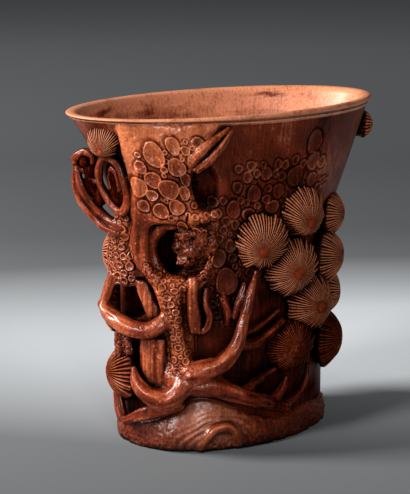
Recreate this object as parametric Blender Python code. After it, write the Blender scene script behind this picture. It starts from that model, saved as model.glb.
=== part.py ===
"""A carved bamboo cup: an oval vessel that flares to a wide mouth, with an old pine tree in high relief.

The underside lies on z = 0, centred on the origin, and the oval's long axis runs along X. Members of the
carving are placed on the vessel by an angle round it, a height and a lift, which is how far they stand off.
"""

import math
from functools import partial

import bmesh
import bpy
from mathutils import Matrix, Vector
from mathutils.bvhtree import BVHTree

# Vessel, in metres
CUP_HEIGHT = 0.110
MOUTH_HALF_LENGTH = 0.0552
MOUTH_HALF_WIDTH = 0.0300
WAIST_HALF_LENGTH = 0.0365
WAIST_HALF_WIDTH = 0.0252
FLARE_START = 0.066
FLARE_POWER = 1.30
FLARE_LEAN = 0.40
WALL_THICKNESS = 0.0045
LIP_THICKNESS = 0.0030
LIP_BEAD_HEIGHT = 0.0024
LIP_BEAD_PROUD = 0.0008
LIP_GROOVE_DEPTH = 0.0004

# Floor let into the bottom from below
FLOOR_THICKNESS = 0.008
FLOOR_DISH = 0.001
FLOOR_REBATE = 0.0015

# Rocky foot
FOOT_HEIGHT = 0.0085
FOOT_SPREAD = 0.0006
FOOT_BULGE = 0.0011
FOOT_ROUGHNESS = 0.0007
MOUND_HEIGHT = 0.0085
MOUND_BULGE = 0.0022
MOUND_ANGLE = 236.0
MOUND_WIDTH = 26.0

# Needle clusters
NEEDLE_FLUTES = 9
NEEDLE_FLUTE_DEPTH = 0.00035
NEEDLE_DOME_SHARE = 0.52
NEEDLE_STALK_SHARE = 0.55

# Clearance between carved members, and how finely they are divided
SEAT_GAP = 0.0003
SINK = 0.0012
WALL_SIDES = 42
FLARE_STEPS = 5
TUBE_SIDES = 7
STEPS_PER_SPAN = 2
MM = 0.001

# The tables below are the carving's layout sheet, on which the flare starts and the lip ends at these
# millimetres. A height read from it follows the vessel when the vessel's own heights change.
SHEET_FLARE = 66.0
SHEET_LIP = 110.0

# Routes of branches: angle in degrees, then height, lift and radius in millimetres
BRANCHES = {
    "handle_strut": [
        (172, 91.5, 9.0, 1.4), (172, 86.2, 10.0, 1.6), (173, 82.3, 9.8, 1.8), (175, 79.0, 8.8, 1.9),
        (179, 76.2, 7.7, 1.9), (184, 74.2, 6.8, 2.0), (190, 73.2, 6.0, 2.0),
    ],
    "side_loop": [
        (181, 57.0, 5.0, 1.7), (177.5, 52.0, 6.0, 1.8), (175, 47.8, 6.6, 2.2), (179, 44.8, 6.9, 2.6),
        (188, 43.2, 6.9, 2.8), (197, 41.8, 6.8, 2.9), (206.5, 41.5, 6.4, 3.0), (213, 43.0, 5.8, 2.9),
        (217, 45.4, 5.3, 2.6),
    ],
    "root_hook": [
        (195.5, 29.6, 5.0, 1.1), (197.6, 26.4, 5.5, 1.6), (200.6, 23.4, 5.8, 2.3), (205.6, 20.6, 6.0, 2.8),
        (211.5, 19.4, 6.0, 3.1), (217.5, 19.8, 6.0, 3.2), (222, 21.8, 5.8, 3.2), (225, 24.4, 5.4, 3.1),
    ],
    "root_low": [
        (221, 15.4, 3.6, 1.7), (211, 13.8, 4.0, 1.8), (202.6, 12.4, 4.0, 1.8), (195, 10.8, 4.0, 1.7),
        (188, 9.2, 4.0, 1.4),
    ],
    "main_bough": [
        (229.5, 28.0, 4.6, 3.6), (235, 28.8, 5.0, 3.5), (241, 29.8, 5.2, 3.2), (246, 32.2, 5.2, 2.8),
        (250, 35.4, 5.0, 2.5), (252.6, 39.2, 4.8, 2.3), (254.2, 43.0, 4.6, 1.9), (256.2, 47.5, 4.4, 1.7),
        (258.4, 52.5, 4.0, 1.5), (260.2, 56.0, 3.6, 1.2), (262, 59.0, 3.0, 1.0),
    ],
    "right_fork": [
        (253, 36.0, 3.6, 1.4), (259.5, 35.4, 3.5, 1.4), (265, 36.7, 3.4, 1.3), (271, 38.9, 3.2, 1.2),
        (277, 41.4, 3.0, 1.1),
    ],
    "upper_fork": [
        (256, 38.8, 1.7, 1.0), (262, 39.8, 1.6, 1.0), (269, 42.0, 1.6, 0.9), (276, 44.8, 1.5, 0.9),
    ],
    "lower_bough": [
        (232, 22.2, 4.6, 2.6), (240, 22.4, 5.0, 2.7), (247, 21.0, 5.0, 2.6), (255, 19.0, 4.8, 2.4),
        (263, 16.8, 4.4, 2.1), (271, 14.6, 4.0, 1.8), (279, 12.6, 3.8, 1.4),
    ],
    "arm_a": [
        (257, 20.5, 3.4, 1.1), (262, 22.6, 3.2, 1.0), (268, 24.3, 3.0, 1.0), (273, 25.6, 2.8, 0.9),
    ],
    "arm_b": [
        (270, 15.6, 3.2, 1.1), (275, 17.2, 3.3, 1.1), (278, 19.6, 3.3, 1.1), (280, 22.0, 3.2, 1.0),
    ],
    "arm_c": [
        (277, 13.6, 3.2, 1.1), (284, 14.2, 3.2, 1.1), (291, 16.4, 3.1, 1.0), (295, 20.0, 3.0, 1.0),
        (297, 24.0, 2.8, 0.9),
    ],
    "broken_stub": [
        (239, 95.0, 4.6, 2.4), (243, 98.0, 4.2, 2.6), (248, 101.6, 3.4, 2.4), (254, 105.2, 2.0, 1.6),
    ],
    "small_stub": [
        (236, 79.2, 6.2, 2.4), (240, 79.6, 6.6, 2.2), (244, 80.2, 6.8, 1.8),
    ],
    "root_arch": [
        (231, 1.8, 2.4, 1.4), (234, 6.0, 3.6, 1.4), (240, 9.4, 3.8, 1.5), (246, 7.2, 3.4, 1.4),
        (250, 1.8, 2.0, 1.4),
    ],
    "handle_twig": [
        (174.5, 89.6, 5.0, 0.7), (180.3, 88.4, 5.0, 0.8), (184.5, 87.6, 5.2, 0.7),
    ],
    "left_twig": [
        (183.5, 39.6, 4.2, 1.3), (182.5, 36.6, 4.4, 1.4), (182.4, 33.8, 4.4, 1.4), (182.0, 31.0, 3.6, 1.2),
    ],
    "left_bud": [
        (186.5, 38.2, 2.6, 0.9), (188.4, 35.0, 2.8, 1.1), (189.8, 32.4, 2.8, 1.3),
    ],
    "low_stalk": [
        (175.6, 16.0, 3.6, 1.1), (178.0, 12.6, 3.8, 1.2), (181.5, 9.8, 3.8, 1.3),
    ],
    "slender_roll": [
        (236.6, 57.0, 3.2, 0.9), (237.8, 52.6, 3.6, 1.1), (238.4, 48.0, 3.6, 1.3), (236.6, 43.2, 3.2, 1.1),
    ],
    "wedge_strand": [
        (246.0, 50.6, 1.0, 1.1), (248.2, 46.8, 1.2, 1.3), (248.2, 42.4, 0.8, 0.8),
    ],
    "bough_twig": [
        (257.0, 55.0, 1.6, 1.0), (255.0, 51.6, 1.9, 1.1), (252.8, 48.4, 2.2, 1.1), (251.6, 45.0, 2.4, 0.9),
    ],
    "back_trunk": [
        (118, 11.0, 3.8, 3.6), (111, 21.0, 4.6, 3.4), (101, 30.0, 5.0, 3.2), (95, 40.0, 5.2, 3.0),
        (99, 51.0, 5.2, 2.8), (104, 62.0, 5.0, 2.5), (99, 73.0, 4.4, 2.2), (89, 82.0, 3.6, 1.9),
        (82, 89.0, 2.8, 1.5),
    ],
    "back_bough_left": [
        (103, 31.0, 4.4, 1.9), (113, 34.0, 4.2, 1.9), (121, 40.0, 4.0, 1.7), (127, 46.0, 3.8, 1.5),
        (132, 52.0, 3.4, 1.3),
    ],
    "back_bough_right": [
        (95, 43.0, 4.4, 1.9), (82, 45.0, 4.2, 1.9), (69, 50.0, 4.0, 1.7), (58, 57.0, 3.8, 1.5),
        (53, 62.0, 3.4, 1.3),
    ],
}

# Routes that close on themselves, in the same terms
LOOPS = {
    "burl_ring": [
        (206, 61.0, 5.4, 2.2), (201.5, 67.5, 5.8, 2.4), (205.5, 75.5, 5.8, 2.4), (218, 79.0, 5.4, 2.0),
        (231, 76.5, 4.8, 1.7), (237, 69.0, 4.2, 1.6), (232, 61.5, 4.4, 1.6), (219, 58.6, 5.0, 1.9),
    ],
    "handle_ring": [
        (172, 95.5, 6.4, 1.1), (175, 97.6, 3.2, 1.1), (179, 96.6, 1.9, 1.1), (178, 94.0, 2.6, 1.0),
        (174.5, 91.4, 5.0, 1.0), (170.5, 92.6, 7.2, 1.1),
    ],
    "handle_drop": [
        (193, 97.0, 2.0, 1.0), (187.5, 94.2, 3.6, 1.0), (185.5, 88.6, 5.6, 1.1), (188, 83.2, 5.8, 1.2),
        (195, 79.6, 6.2, 1.3), (200, 83.0, 5.6, 1.2), (200.5, 90.0, 3.8, 1.1), (198.5, 94.8, 2.2, 1.0),
    ],
    "handle_drop_inner": [
        (193.5, 93.4, 2.4, 0.7), (190, 89.4, 3.6, 0.7), (191.5, 85.0, 4.2, 0.7), (196, 86.0, 4.2, 0.7),
        (196.5, 91.0, 3.2, 0.7),
    ],
}

# Broad members: rows of height in millimetres, left and right angle in degrees, lift in millimetres
SLABS = {
    "trunk_upper": [
        (106.8, 210, 250, 1.3), (103.0, 208, 246.5, 2.4), (99.0, 207, 241.5, 3.4), (94.0, 206, 236, 4.6),
        (89.0, 205, 233.5, 5.4), (84.0, 203.5, 234, 6.0), (78.5, 202, 236.5, 6.4),
    ],
    "trunk_left": [
        (79.0, 188, 203, 6.2), (73.0, 178, 203, 6.4), (67.0, 171, 202, 6.2), (61.0, 168, 201, 6.0),
        (54.5, 170, 196, 5.4),
    ],
    "trunk_centre": [
        (61.5, 206, 228, 5.6), (56.0, 210, 226, 6.0), (50.0, 213.5, 225, 6.2), (42.0, 216, 227, 6.2),
        (34.0, 217.5, 228.5, 6.0), (28.0, 218, 231, 5.6), (23.0, 219, 233, 5.2),
    ],
    "split_plank": [
        (61.0, 229.2, 234.5, 5.4), (52.0, 226.2, 233.6, 5.6), (46.0, 227.6, 234.8, 5.2),
        (40.5, 228.8, 235, 4.6),
    ],
    "inner_plank": [
        (54.8, 196.5, 204.5, 4.2), (49.0, 200.5, 210.0, 4.2), (43.5, 205, 212, 3.6),
    ],
    "low_plank": [
        (38.5, 200, 215.2, 3.6), (28.0, 199.2, 216, 3.8), (20.5, 203, 216, 3.2),
    ],
}
SLAB_COLUMNS = 5
SLAB_EDGE_DROP = 0.3

# Rough wood in the hollow: angle, height, lift, half-width, half-height, half-depth
BURL_HEART = (231, 69.0, 1.4, 5.2, 6.0, 3.2)
BURL_HEART_SIDES = 12
BURL_HEART_RINGS = 6

# Needle clusters: angle, height, lift of the rim, radius and turn, then where the needles meet in radii.
# A cluster's centre and upper edge are where the sheet has them.
NEEDLES = [
    (283, 59.0, 3.2, 9.2, -14, 0.0, -0.15),
    (266, 68.6, 2.4, 8.8, -8, -0.2, -0.30),
    (290, 76.0, 1.8, 7.8, -10, 0.0, -0.40),
    (297.5, 45.0, 3.2, 9.2, -14, 0.1, -0.05),
    (284, 32.6, 2.4, 8.8, -12, -0.1, 0.0),
    (319, 59.0, 3.4, 8.2, 0, 0.1, 0.0),
    (324, 73.0, 1.8, 6.0, 0, 0.1, 0.0),
    (322, 29.5, 2.6, 9.2, 0, 0.1, 0.0),
    (346, 99.4, 2.6, 4.6, 0, 0.0, 0.0),
    (194.5, 101.0, 0.8, 6.8, 8, 0.0, -0.45),
    (181, 24.0, 2.4, 8.6, -14, 0.0, 0.0),
    (342, 44.0, 2.2, 8.2, 0, 0.0, -0.1),
    (14, 37.0, 2.6, 8.4, 0, 0.0, -0.1),
    (28, 59.0, 3.0, 8.8, 0, 0.0, -0.1),
    (22, 78.5, 1.8, 7.8, 0, 0.0, -0.2),
    (47, 70.5, 2.6, 8.8, 0, 0.0, -0.1),
    (68, 78.5, 2.0, 7.6, 0, 0.0, -0.2),
    (79, 95.0, 1.2, 6.4, 0, 0.0, -0.3),
    (58, 36.0, 2.6, 8.6, 0, 0.0, 0.1),
    (138, 60.0, 3.0, 8.8, 0, 0.0, -0.1),
    (117, 75.0, 2.4, 8.4, 0, 0.0, -0.2),
    (143, 41.0, 2.8, 8.2, 0, 0.0, 0.0),
]

# Colours of the wood as linear red, green and blue, with the roughness of its wax
VESSEL_FINISH = ((0.17, 0.055, 0.025), 0.42)
TRUNK_FINISH = ((0.19, 0.065, 0.028), 0.45)
BOUGH_FINISH = ((0.24, 0.080, 0.032), 0.38)
NEEDLE_FINISH = ((0.13, 0.048, 0.028), 0.50)
FLOOR_FINISH = ((0.14, 0.050, 0.025), 0.50)


def wall_point(angle, height, lift=0.0):
    """A point on the vessel's outside at an angle in degrees, standing off level by the lift."""
    turn = math.radians(angle)
    rise = max(0.0, (height - FLARE_START) / (CUP_HEIGHT - FLARE_START))
    flare = rise ** (FLARE_POWER - FLARE_LEAN * math.cos(turn))
    half_length = WAIST_HALF_LENGTH + (MOUTH_HALF_LENGTH - WAIST_HALF_LENGTH) * flare
    half_width = WAIST_HALF_WIDTH + (MOUTH_HALF_WIDTH - WAIST_HALF_WIDTH) * flare
    outward = Vector((math.cos(turn) / half_length, math.sin(turn) / half_width, 0.0)).normalized()
    return Vector((half_length * math.cos(turn), half_width * math.sin(turn), height)) + outward * lift


def sheet_height(height):
    """The height on the vessel of a height on the layout sheet."""
    if height <= SHEET_FLARE:
        return FLARE_START * height / SHEET_FLARE
    return FLARE_START + (CUP_HEIGHT - FLARE_START) * (height - SHEET_FLARE) / (SHEET_LIP - SHEET_FLARE)


def wall_outward(angle, height):
    return (wall_point(angle, height, 1.0) - wall_point(angle, height)).normalized()


def wall_thickness(height):
    share = max(0.0, (height - FLARE_START) / (CUP_HEIGHT - FLARE_START))
    return WALL_THICKNESS + (LIP_THICKNESS - WALL_THICKNESS) * share


def wall_ring(height, lift):
    return [wall_point(360.0 * side / WALL_SIDES, height, lift) for side in range(WALL_SIDES)]


def outer_heights():
    """Heights at which the outside of the wall is divided, from the bottom to the groove under the lip."""
    top = CUP_HEIGHT - 2.0 * LIP_BEAD_HEIGHT
    flared = [FLARE_START + (top - FLARE_START) * step / FLARE_STEPS for step in range(1, FLARE_STEPS + 1)]
    return [0.0, FLARE_START] + flared


def loft(rings, close_rings=False):
    """A closed mesh through rings of equally many points."""
    bm = bmesh.new()
    rows = [[bm.verts.new(point) for point in ring] for ring in rings]
    pairs = list(zip(rows, rows[1:]))
    if close_rings:
        pairs.append((rows[-1], rows[0]))
    else:
        bm.faces.new(rows[0])
        bm.faces.new(rows[-1])
    for low, high in pairs:
        for side in range(len(low)):
            following = (side + 1) % len(low)
            bm.faces.new((low[side], low[following], high[following], high[side]))
    bmesh.ops.triangulate(bm, faces=bm.faces[:])
    bmesh.ops.recalc_face_normals(bm, faces=bm.faces[:])
    bm.verts.index_update()
    return bm


def spline(knots, closed=False):
    """Points on a smooth curve through the knots, with STEPS_PER_SPAN from each knot to the next."""
    count = len(knots)
    spans = count if closed else count - 1
    points = []
    for span in range(spans):
        if closed:
            around = [knots[(span + offset) % count] for offset in (-1, 0, 1, 2)]
        else:
            around = [knots[min(max(span + offset, 0), count - 1)] for offset in (-1, 0, 1, 2)]
        for step in range(STEPS_PER_SPAN):
            points.append(catmull_rom(around, step / STEPS_PER_SPAN))
    if not closed:
        points.append(tuple(float(value) for value in knots[-1]))
    return points


def catmull_rom(around, share):
    """The knot that lies a share of the way between the middle two of four knots."""
    mixed = []
    for a, b, c, d in zip(*around):
        slope = (c - a) * share
        bend = (2 * a - 5 * b + 4 * c - d) * share**2
        twist = (3 * b - 3 * c + d - a) * share**3
        mixed.append(b + 0.5 * (slope + bend + twist))
    return tuple(mixed)


def circle(centre, along, outward, radius):
    """A ring of points round a branch, squared to the way it runs."""
    across = along.cross(outward).normalized()
    up = across.cross(along).normalized()
    turns = [2.0 * math.pi * side / TUBE_SIDES for side in range(TUBE_SIDES)]
    return [centre + (across * math.cos(turn) + up * math.sin(turn)) * radius for turn in turns]


def branch(route, closed, grow):
    """A round branch along a route, thicker by grow, with rounded ends where it is open."""
    knots = spline(route, closed)
    centres = [wall_point(angle, sheet_height(height), lift * MM) for angle, height, lift, _ in knots]
    outwards = [wall_outward(angle, sheet_height(height)) for angle, height, _, _ in knots]
    radii = [radius * MM + grow for _, _, _, radius in knots]
    count = len(knots)
    rings = []
    alongs = []
    for place in range(count):
        if closed:
            along = centres[(place + 1) % count] - centres[place - 1]
        else:
            along = centres[min(place + 1, count - 1)] - centres[max(place - 1, 0)]
        alongs.append(along.normalized())
        rings.append(circle(centres[place], alongs[-1], outwards[place], radii[place]))
    if not closed:
        first = centres[0] - alongs[0] * radii[0] * 0.6
        last = centres[-1] + alongs[-1] * radii[-1] * 0.6
        rings.insert(0, circle(first, alongs[0], outwards[0], radii[0] * 0.6))
        rings.append(circle(last, alongs[-1], outwards[-1], radii[-1] * 0.6))
    return loft(rings, close_rings=closed)


def slab(rows, grow):
    """A broad member through rows of height, left angle, right angle and lift, rounded at its edges."""
    knots = spline(rows)
    widen = math.degrees(grow / WAIST_HALF_WIDTH)
    rings = []
    for place, (height, left, right, lift) in enumerate(knots):
        level = sheet_height(height)
        if place == 0:
            level += grow
        if place == len(knots) - 1:
            level -= grow
        start = left - widen
        width = right - left + 2.0 * widen
        ring = []
        for column in range(SLAB_COLUMNS + 1):
            share = column / SLAB_COLUMNS
            crown = 1.0 - SLAB_EDGE_DROP * abs(2.0 * share - 1.0) ** 3
            ring.append(wall_point(start + width * share, level, lift * MM * crown + grow))
        for column in range(SLAB_COLUMNS, -1, -1):
            ring.append(wall_point(start + width * column / SLAB_COLUMNS, level, -SINK))
        rings.append(ring)
    return loft(rings)


def lump(shape, grow):
    """A rounded lump of wood on the wall."""
    angle, height, lift, half_width, half_height, half_depth = shape
    level = sheet_height(height)
    outward = wall_outward(angle, level)
    centre = wall_point(angle, level, lift * MM)
    across = Vector((0.0, 0.0, 1.0)).cross(outward)
    rings = []
    for ring in range(1, BURL_HEART_RINGS):
        slope = math.pi * ring / BURL_HEART_RINGS
        girth = math.sin(slope)
        depth = math.cos(slope) * (half_depth * MM + grow)
        points = []
        for side in range(BURL_HEART_SIDES):
            turn = 2.0 * math.pi * side / BURL_HEART_SIDES
            wide = across * math.cos(turn) * (half_width * MM + grow)
            tall = Vector((0.0, 0.0, math.sin(turn) * (half_height * MM + grow)))
            points.append(centre + outward * depth + (wide + tall) * girth)
        rings.append(points)
    return loft(rings)


def needle_cluster(radius, meet, lift, grow):
    """A domed, fluted disc of needles on a stalk, with its rim on the local XY plane and its dome to +Z."""
    sides = 2 * NEEDLE_FLUTES
    dome = radius * NEEDLE_DOME_SHARE
    profile = [
        (0.14, dome, 0.0),
        (0.55, dome * 0.86, 1.0),
        (0.86, dome * 0.46, 1.0),
        (1.00, 0.0, 1.0),
        (NEEDLE_STALK_SHARE, -lift - SINK, 0.0),
    ]
    rings = []
    for share, level, fluting in profile:
        ring = []
        for side in range(sides):
            turn = 2.0 * math.pi * side / sides
            flute = NEEDLE_FLUTE_DEPTH * fluting * (1.0 if side % 2 else -1.0)
            reach = radius * share + grow + flute * share
            pull = radius * (1.0 - share) if level > 0.0 else 0.0
            right = math.cos(turn) * reach + meet[0] * pull
            up = math.sin(turn) * reach + meet[1] * pull
            ring.append(Vector((right, up, level + flute + math.copysign(grow, level))))
        rings.append(ring)
    return loft(rings)


def cup_wall():
    """The vessel: its outside, beaded lip, inside, and the rebate for the floor."""
    rings = [wall_ring(height, 0.0) for height in outer_heights()]
    bead_bottom = CUP_HEIGHT - LIP_BEAD_HEIGHT
    rings.append(wall_ring(bead_bottom - 0.3 * LIP_BEAD_HEIGHT, -LIP_GROOVE_DEPTH))
    rings.append(wall_ring(bead_bottom + 0.2 * LIP_BEAD_HEIGHT, LIP_BEAD_PROUD))
    rings.append(wall_ring(CUP_HEIGHT - 0.25 * LIP_BEAD_HEIGHT, LIP_BEAD_PROUD))
    rings.append(wall_ring(CUP_HEIGHT, 0.0))
    rings.append(wall_ring(CUP_HEIGHT, -0.6 * LIP_THICKNESS))
    inside_top = CUP_HEIGHT - 0.4 * LIP_THICKNESS
    for step in range(FLARE_STEPS + 1):
        height = inside_top + (FLARE_START - inside_top) * step / FLARE_STEPS
        rings.append(wall_ring(height, -wall_thickness(height)))
    rings.append(wall_ring(FLOOR_THICKNESS + SEAT_GAP, -WALL_THICKNESS))
    rings.append(wall_ring(FLOOR_THICKNESS + SEAT_GAP, -WALL_THICKNESS + FLOOR_REBATE))
    rings.append(wall_ring(0.0, -WALL_THICKNESS + FLOOR_REBATE))
    return loft(rings, close_rings=True)


def wall_seat():
    """The solid that carved members are cut to, so that they lie on the wall with a gap."""
    rings = [wall_ring(height, SEAT_GAP) for height in outer_heights()]
    rings[0] = wall_ring(-CUP_HEIGHT, SEAT_GAP)
    rings.append(wall_ring(CUP_HEIGHT, LIP_BEAD_PROUD + SEAT_GAP))
    return loft(rings)


def floor_plug():
    """The floor, dished on top, in its rebate."""
    inset = -WALL_THICKNESS + FLOOR_REBATE - SEAT_GAP
    rings = [
        wall_ring(0.0, inset),
        wall_ring(FLOOR_THICKNESS, inset),
        wall_ring(FLOOR_THICKNESS, -WALL_THICKNESS - SEAT_GAP),
        wall_ring(FLOOR_THICKNESS - FLOOR_DISH, -2.0 * WALL_THICKNESS),
    ]
    return loft(rings)


def mound_share(angle):
    """How far an angle lies on the mound under the trunk, from 1 at its middle to 0 away from it."""
    off = (angle - MOUND_ANGLE + 180.0) % 360.0 - 180.0
    return math.exp(-((off / MOUND_WIDTH) ** 2))


def foot_top(angle):
    """Height of the rocks at an angle: a low uneven band that swells to the mound."""
    turn = math.radians(angle)
    ripple = math.sin(5.0 * turn) + 0.6 * math.sin(11.0 * turn + 1.0)
    return FOOT_HEIGHT + MOUND_HEIGHT * mound_share(angle) + FOOT_ROUGHNESS * ripple


def rock_foot(grow):
    """The ring of rocks round the bottom, as sections through it at each angle."""
    inner = SEAT_GAP if grow == 0.0 else -SINK
    rings = []
    for side in range(WALL_SIDES):
        angle = 360.0 * side / WALL_SIDES
        top = foot_top(angle)
        rough = FOOT_ROUGHNESS * math.sin(7.0 * math.radians(angle))
        bulge = FOOT_BULGE + MOUND_BULGE * mound_share(angle) + rough
        section = [
            (-grow, inner),
            (-grow, FOOT_SPREAD + grow),
            (0.40 * top, bulge + grow),
            (0.80 * top, 0.75 * bulge + grow),
            (top + grow, 0.25 * bulge + grow),
            (top + grow, inner),
        ]
        rings.append([wall_point(angle, height, lift) for height, lift in section])
    return loft(rings, close_rings=True)


def material(name, finish):
    colour, roughness = finish
    made = bpy.data.materials.new(name)
    made.use_nodes = True
    shader = made.node_tree.nodes["Principled BSDF"]
    shader.inputs["Base Color"].default_value = (*colour, 1.0)
    shader.inputs["Roughness"].default_value = roughness
    shader.inputs["Metallic"].default_value = 0.0
    return made


def add_object(name, bm, place, finish=None):
    """A new object from a mesh. Without a finish it is a cutter."""
    mesh = bpy.data.meshes.new(name)
    bm.to_mesh(mesh)
    bm.free()
    made = bpy.data.objects.new(name, mesh)
    made.matrix_world = place
    bpy.context.scene.collection.objects.link(made)
    if finish is None:
        made.hide_render = True
        made.display_type = "WIRE"
    else:
        mesh.materials.append(finish)
        mesh.shade_smooth()
        mesh.set_sharp_from_angle(angle=math.radians(40.0))
    return made


def cluster_place(angle, height, lift, turn):
    """Where a needle cluster sits: X level along the wall, Y up and Z outward, turned about the upright."""
    outward = Matrix.Rotation(math.radians(turn), 3, "Z") @ wall_outward(angle, height)
    up = Vector((0.0, 0.0, 1.0))
    turned = Matrix((up.cross(outward), up, outward)).transposed()
    return Matrix.Translation(wall_point(angle, height, lift)) @ turned.to_4x4()


def carved_members():
    """Each carved member's name, finish, place and function of how much to grow it, uppermost first."""
    still = Matrix.Identity(4)
    members = [("rock_foot", "foot", still, rock_foot)]
    for number, (angle, height, lift, radius, turn, *meet) in enumerate(NEEDLES, start=1):
        level = sheet_height(height)
        place = cluster_place(angle, level, lift * MM, turn)
        grown = partial(needle_cluster, sheet_height(height + radius) - level, meet, lift * MM)
        members.append((f"needle_{number:02d}", "needle", place, grown))
    for name, route in LOOPS.items():
        members.append((name, "bough", still, partial(branch, route, True)))
    for name, route in BRANCHES.items():
        members.append((name, "bough", still, partial(branch, route, False)))
    for name, rows in SLABS.items():
        members.append((name, "trunk", still, partial(slab, rows)))
    members.append(("burl_heart", "trunk", still, partial(lump, BURL_HEART)))
    return members


def tree_of(bm, place):
    return BVHTree.FromPolygons(
        [place @ vert.co for vert in bm.verts], [[vert.index for vert in face.verts] for face in bm.faces]
    )


def cut(target, cutter):
    boolean = target.modifiers.new(cutter.name, "BOOLEAN")
    boolean.operation = "DIFFERENCE"
    boolean.solver = "EXACT"
    boolean.object = cutter


def build():
    for old in list(bpy.data.objects):
        bpy.data.objects.remove(old, do_unlink=True)
    finishes = {
        "vessel": material("vessel_wood", VESSEL_FINISH),
        "trunk": material("trunk_wood", TRUNK_FINISH),
        "bough": material("bough_wood", BOUGH_FINISH),
        "needle": material("needle_wood", NEEDLE_FINISH),
        "foot": material("foot_wood", TRUNK_FINISH),
        "floor": material("floor_wood", FLOOR_FINISH),
    }
    still = Matrix.Identity(4)
    add_object("cup_wall", cup_wall(), still, finishes["vessel"])
    add_object("floor_plug", floor_plug(), still, finishes["floor"])
    seat = add_object("wall_seat", wall_seat(), still)
    earlier = []
    for name, finish, place, grown in carved_members():
        shape = grown(0.0)
        outline = tree_of(shape, place)
        member = add_object(name, shape, place, finishes[finish])
        if name != "rock_foot":
            cut(member, seat)
        for cutter, cutter_outline in earlier:
            if cutter_outline.overlap(outline):
                cut(member, cutter)
        swollen = grown(SEAT_GAP)
        swollen_outline = tree_of(swollen, place)
        earlier.append((add_object(f"{name}_clearance", swollen, place), swollen_outline))


build()
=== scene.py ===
"""The looks of the carved bamboo cup, built round its solids.

Carved members are sampled as fields of distance and meshed from them, so that they run into one another as
wood does. Lengths are in millimetres until a piece is made. A place on the vessel is an angle in degrees, a
height and a lift off the outside of the wall.
"""

import itertools
import math

import bmesh
import bpy
import numpy as np
import openvdb
from mathutils import Matrix, Vector


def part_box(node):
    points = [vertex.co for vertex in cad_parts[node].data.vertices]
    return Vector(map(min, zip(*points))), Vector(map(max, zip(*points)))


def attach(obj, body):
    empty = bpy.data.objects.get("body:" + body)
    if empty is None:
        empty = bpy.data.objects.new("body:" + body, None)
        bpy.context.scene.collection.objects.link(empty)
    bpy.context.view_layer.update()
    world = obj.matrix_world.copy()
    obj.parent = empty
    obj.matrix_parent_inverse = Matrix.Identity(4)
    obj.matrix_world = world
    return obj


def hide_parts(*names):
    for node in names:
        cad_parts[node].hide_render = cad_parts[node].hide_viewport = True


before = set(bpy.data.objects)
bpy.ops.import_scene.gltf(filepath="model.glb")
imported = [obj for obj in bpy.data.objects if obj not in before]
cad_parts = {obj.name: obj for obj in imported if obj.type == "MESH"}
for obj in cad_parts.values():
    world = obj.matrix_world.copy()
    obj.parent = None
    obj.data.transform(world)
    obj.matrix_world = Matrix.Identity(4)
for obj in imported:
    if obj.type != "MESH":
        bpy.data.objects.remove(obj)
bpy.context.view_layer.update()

MM = 0.001

# Vessel
CUP_HEIGHT = 110.0
MOUTH_HALF_LENGTH = 55.2
MOUTH_HALF_WIDTH = 30.0
WAIST_HALF_LENGTH = 36.5
WAIST_HALF_WIDTH = 25.2
FLARE_START = 66.0
FLARE_POWER = 1.30
FLARE_LEAN = 0.40
WALL_THICKNESS = 4.5
LIP_THICKNESS = 3.0
FLOOR_THICKNESS = 8.0
FLOOR_DISH = 1.0
FLOOR_DISH_WIDTH = 12.0
FLOOR_REBATE = 1.5
SEAT_GAP = 0.3
SINK = 1.2

# Rocky foot
FOOT_HEIGHT = 8.5
FOOT_SPREAD = 0.6
FOOT_BULGE = 1.1
FOOT_ROUGHNESS = 0.7
MOUND_HEIGHT = 8.5
MOUND_BULGE = 2.2
MOUND_ANGLE = 236.0
MOUND_WIDTH = 26.0
ARCH_ANGLE = 244.0
GRAIN_SPACING = 2.2
FOLD_REACH = 11.5

# How finely the carving is sampled, how far round its node, and how members meet one another and the wall
VOXEL = 0.26
BLOCK = 4
NEAR_BLOCKS = 1.1
NEAR_SLACK = 0.3
FAR = 4.0
NODE_MARGIN = 2.2
UNDERSIDE_MARGIN = 0.5
SEAM_OVERLAP = 0.12
SKIRT_REACH = 1.2
WALL_GAP = 0.08
STEPS_PER_SPAN = 5

# How finely the wall is sampled: closer where its bark shows, and wider below it and inside
WALL_STEP = 1.1
WALL_STEP_HEIGHT = 80.0
WALL_FINE_STEP = 0.36
WALL_FINE_ANGLES = (236.0, 302.0)
WALL_PLAIN_STEP = 1.3
WALL_PLAIN_TOP = 38.0
LIP_INNER_STEP = 0.6
LIP_INNER_END = 96.0
INSIDE_TOP = 95.0
INSIDE_ROWS = 45

# Fibres along a branch: how many show round it, how they stretch and how deep they are beside its radius
FIBRES = 2.2
FIBRE_STRETCH = 0.17
FIBRE_DEPTH = 0.12
FIBRE_TONE = 0.26

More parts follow.
